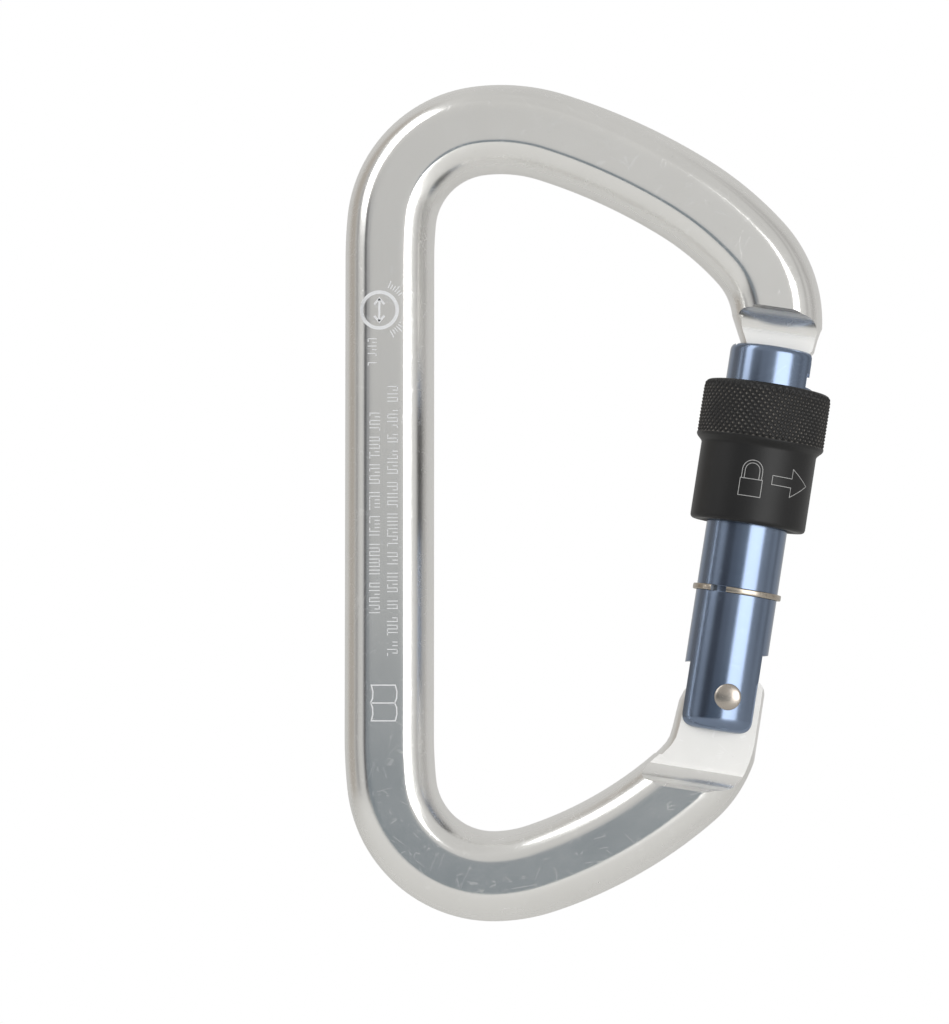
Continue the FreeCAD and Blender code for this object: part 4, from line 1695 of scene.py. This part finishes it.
SOFT_BOXES = (
    SoftBox("right_box", 34.0, -5.0, 1.0, (0.76, 1.0), 3.0),
    SoftBox("left_box", -65.0, 38.0, 1.0, (0.36, 0.86), 2.3),
)


@dataclass
class Studio:
    """Pale floor, white surround, soft boxes and the camera, in metres."""

    floor_drop: float = 0.15
    floor_rings: tuple[float, ...] = (0.0, 0.3, 0.8, 1.2)
    floor_colour: Colour = (0.84, 0.84, 0.83)
    floor_roughness: float = 0.85
    room: Colour = (0.625, 0.62, 0.605)
    room_spread: float = 0.10
    eye: Point = (0.04373, -0.590, -0.08722)
    aim: Point = (-0.00391, 0.0, -0.05413)
    lens: float = 131.0

    def camera(self) -> None:
        """Places the camera: it looks from eye to aim with Z up."""
        data = bpy.data.cameras.new("camera")
        data.lens, data.sensor_width, data.clip_start = self.lens, 36.0, 0.01
        eye = bpy.data.objects.new("camera", data)
        eye.matrix_world = aimed(Vector(self.eye), Vector(self.aim) - Vector(self.eye))
        bpy.context.scene.collection.objects.link(eye)
        bpy.context.scene.camera = eye

    def floor(self) -> None:
        """A pale disc under the object: rings of points, closed at the middle."""
        radius = np.array(self.floor_rings)[:, None] / MM
        angle = np.linspace(0, FULL_TURN, 64, endpoint=False)[None, :]
        height = np.full((len(radius), 64), (CAD_BOX[0][2] - self.floor_drop) / MM)
        grid = np.stack([radius * np.cos(angle), radius * np.sin(angle), height], axis=-1)
        disc = Sheets.solid("floor", grid, Sheets.quads(*height.shape, False, True)[:, ::-1])
        material = bpy.data.materials.new("pale_floor")
        material.use_nodes = True
        surface = material.node_tree.nodes["Principled BSDF"]
        surface.inputs["Base Color"].default_value = (*self.floor_colour, 1.0)
        surface.inputs["Roughness"].default_value = self.floor_roughness
        disc.data.materials.append(material)

    @staticmethod
    def window(t: NodeTree, angle: Socket, low: float, high: float, soft: float) -> Socket:
        """1 between two angles and 0 beyond them, with smooth sides.

        Args:
            t: the tree being built.
            angle: the angle in degrees.
            low: where it starts.
            high: where it ends.
            soft: width of each side, centred on its end.

        Returns:
            The mask.
        """
        sides = []
        for edge, to in ((low, 1.0), (high, 0.0)):
            ends = {"From Min": edge - soft / 2, "From Max": edge + soft / 2}
            side = t.add("MapRange", {"Value": angle, **ends, "To Min": 1.0 - to, "To Max": to},
                         interpolation_type="SMOOTHSTEP")
            sides.append(side.outputs[0])
        return t.math("MULTIPLY", *sides)

    def surround(self) -> None:
        """White behind the object; a pale room with a few darker walls for the metal to reflect."""
        world = bpy.data.worlds.new("studio")
        bpy.context.scene.world = world
        world.use_nodes = True
        world.node_tree.nodes.clear()
        t = NodeTree(world.node_tree)
        place = t.add("TexCoord").outputs["Generated"]
        x, y, z = t.add("SeparateXYZ", {0: place}).outputs
        azimuth = t.math("MULTIPLY", t.math("ARCTAN2", x, t.math("MULTIPLY", y, -1.0)), math.degrees(1.0))
        elevation = t.math("MULTIPLY", t.math("ARCSINE", z), math.degrees(1.0))
        tint = t.mix(t.noise(place, 2.2, 1.0), scaled(self.room, 1 - self.room_spread),
                     scaled(self.room, 1 + self.room_spread))
        for wall in WALLS:
            mask = t.math("MULTIPLY", self.window(t, azimuth, *wall.azimuth, wall.soft),
                          self.window(t, elevation, *wall.elevation, wall.soft_up))
            tint = t.mix(mask, tint, wall.colour)
        seen = t.add("LightPath").outputs["Is Camera Ray"]
        back = t.add("Background", {"Color": t.mix(seen, tint, (1.0, 1.0, 1.0))})
        t.add("OutputWorld", {"Surface": back.outputs[0]})

    def build(self) -> None:
        """Sets the stage."""
        self.camera()
        self.floor()
        self.surround()
        for box in SOFT_BOXES:
            box.build()
        bpy.context.scene.view_settings.view_transform = "Standard"


FINISHES = (
    Metal(Finish.RING, (0.905, 0.90, 0.885), (0.84, 0.835, 0.82), roughness=0.165, roughness_spread=0.06,
          grain_pitch=7.0, grain_height=0.006, scratches=0.35, pits=0.4, from_uv=True, milled_roughness=0.24,
          milled_dullness=0.5, side_roughness=0.2),
    Metal(Finish.GATE, (0.215, 0.27, 0.37), (0.185, 0.235, 0.33), roughness=0.20, roughness_spread=0.05,
          grain_pitch=5.0, grain_height=0.003, scratches=0.15, pits=0.08, from_uv=True),
    Metal(Finish.RIVET, (0.62, 0.575, 0.52), (0.36, 0.32, 0.28), roughness=0.28, roughness_spread=0.12,
          grain_pitch=9.0, grain_height=0.010, scratches=0.3, pits=0.5),
    Metal(Finish.SPRING, (0.60, 0.60, 0.60), (0.48, 0.48, 0.48), roughness=0.3, roughness_spread=0.10,
          grain_pitch=9.0, grain_height=0.004, scratches=0.2, pits=0.2),
    Metal(Finish.CLIP, (0.50, 0.45, 0.385), (0.40, 0.355, 0.30), roughness=0.25, roughness_spread=0.10,
          grain_pitch=9.0, grain_height=0.004, scratches=0.2, pits=0.2),
)
NYLON = Frost(Finish.FRICTION.value, (0.75, 0.74, 0.70), roughness=0.45, metallic=0.0)
ETCHED = Frost("etched_mark", (0.80, 0.81, 0.83), roughness=0.65, metallic=0.2)
SLEEVE_PRINT = Frost("sleeve_mark", (0.42, 0.42, 0.42), roughness=0.6, metallic=0.0)


def dress(piece: bpy.types.Object, material: bpy.types.Material) -> None:
    """Gives a piece its one material.

    Args:
        piece: the mesh object.
        material: what it wears.
    """
    piece.data.materials.clear()
    piece.data.materials.append(material)


def stand_in(piece: bpy.types.Object, node: str, finish: Finish, material: bpy.types.Material) -> None:
    """Puts a finished piece in the place of its frame node.

    Args:
        piece: the finished mesh.
        node: the frame node it stands for.
        finish: the record's slot; not used.
        material: what it wears.
    """
    dress(piece, material)
    body = next(b for b, nodes in frame["record"]["behaviour"]["bodies"].items() if node in nodes)
    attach(piece, body)
    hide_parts(node)
    log.info("%s stands for %s on %s", piece.name, node, body)


def main() -> None:
    """Builds the stage and every piece in order."""
    logging.basicConfig(level=logging.INFO, format="%(message)s")
    Studio().build()
    effects = SharedEffects()
    materials = {finish.slot: finish.build(effects) for finish in FINISHES}
    materials[Finish.SLEEVE] = BlackAnodise().build(effects)
    materials[Finish.FRICTION] = NYLON.build()
    for shape, node, finish in ((RingBar, "ring_body", Finish.RING), (GateTube, "gate", Finish.GATE),
                                (Sleeve, "locking_sleeve", Finish.SLEEVE),
                                (Rivet, "hinge_rivet", Finish.RIVET), (Clip, "retaining_clip", Finish.CLIP)):
        stand_in(shape().build(), node, finish, materials[finish])
    for node, finish in (("spring_plunger", Finish.RIVET), ("gate_spring", Finish.SPRING),
                         ("friction_ring", Finish.FRICTION)):
        dress(frame["nodes"][node], materials[finish])
        log.info("%s keeps its frame shape", node)
    for marks, paint, body, finish in ((RingMarks, ETCHED, "ring", Finish.RING),
                                       (SleeveMarks, SLEEVE_PRINT, "sleeve", Finish.SLEEVE)):
        piece = marks().build()
        dress(piece, paint.build())
        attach(piece, body)
        log.info("%s drawn on %s", piece.name, body)


if __name__ == "__main__":
    main()
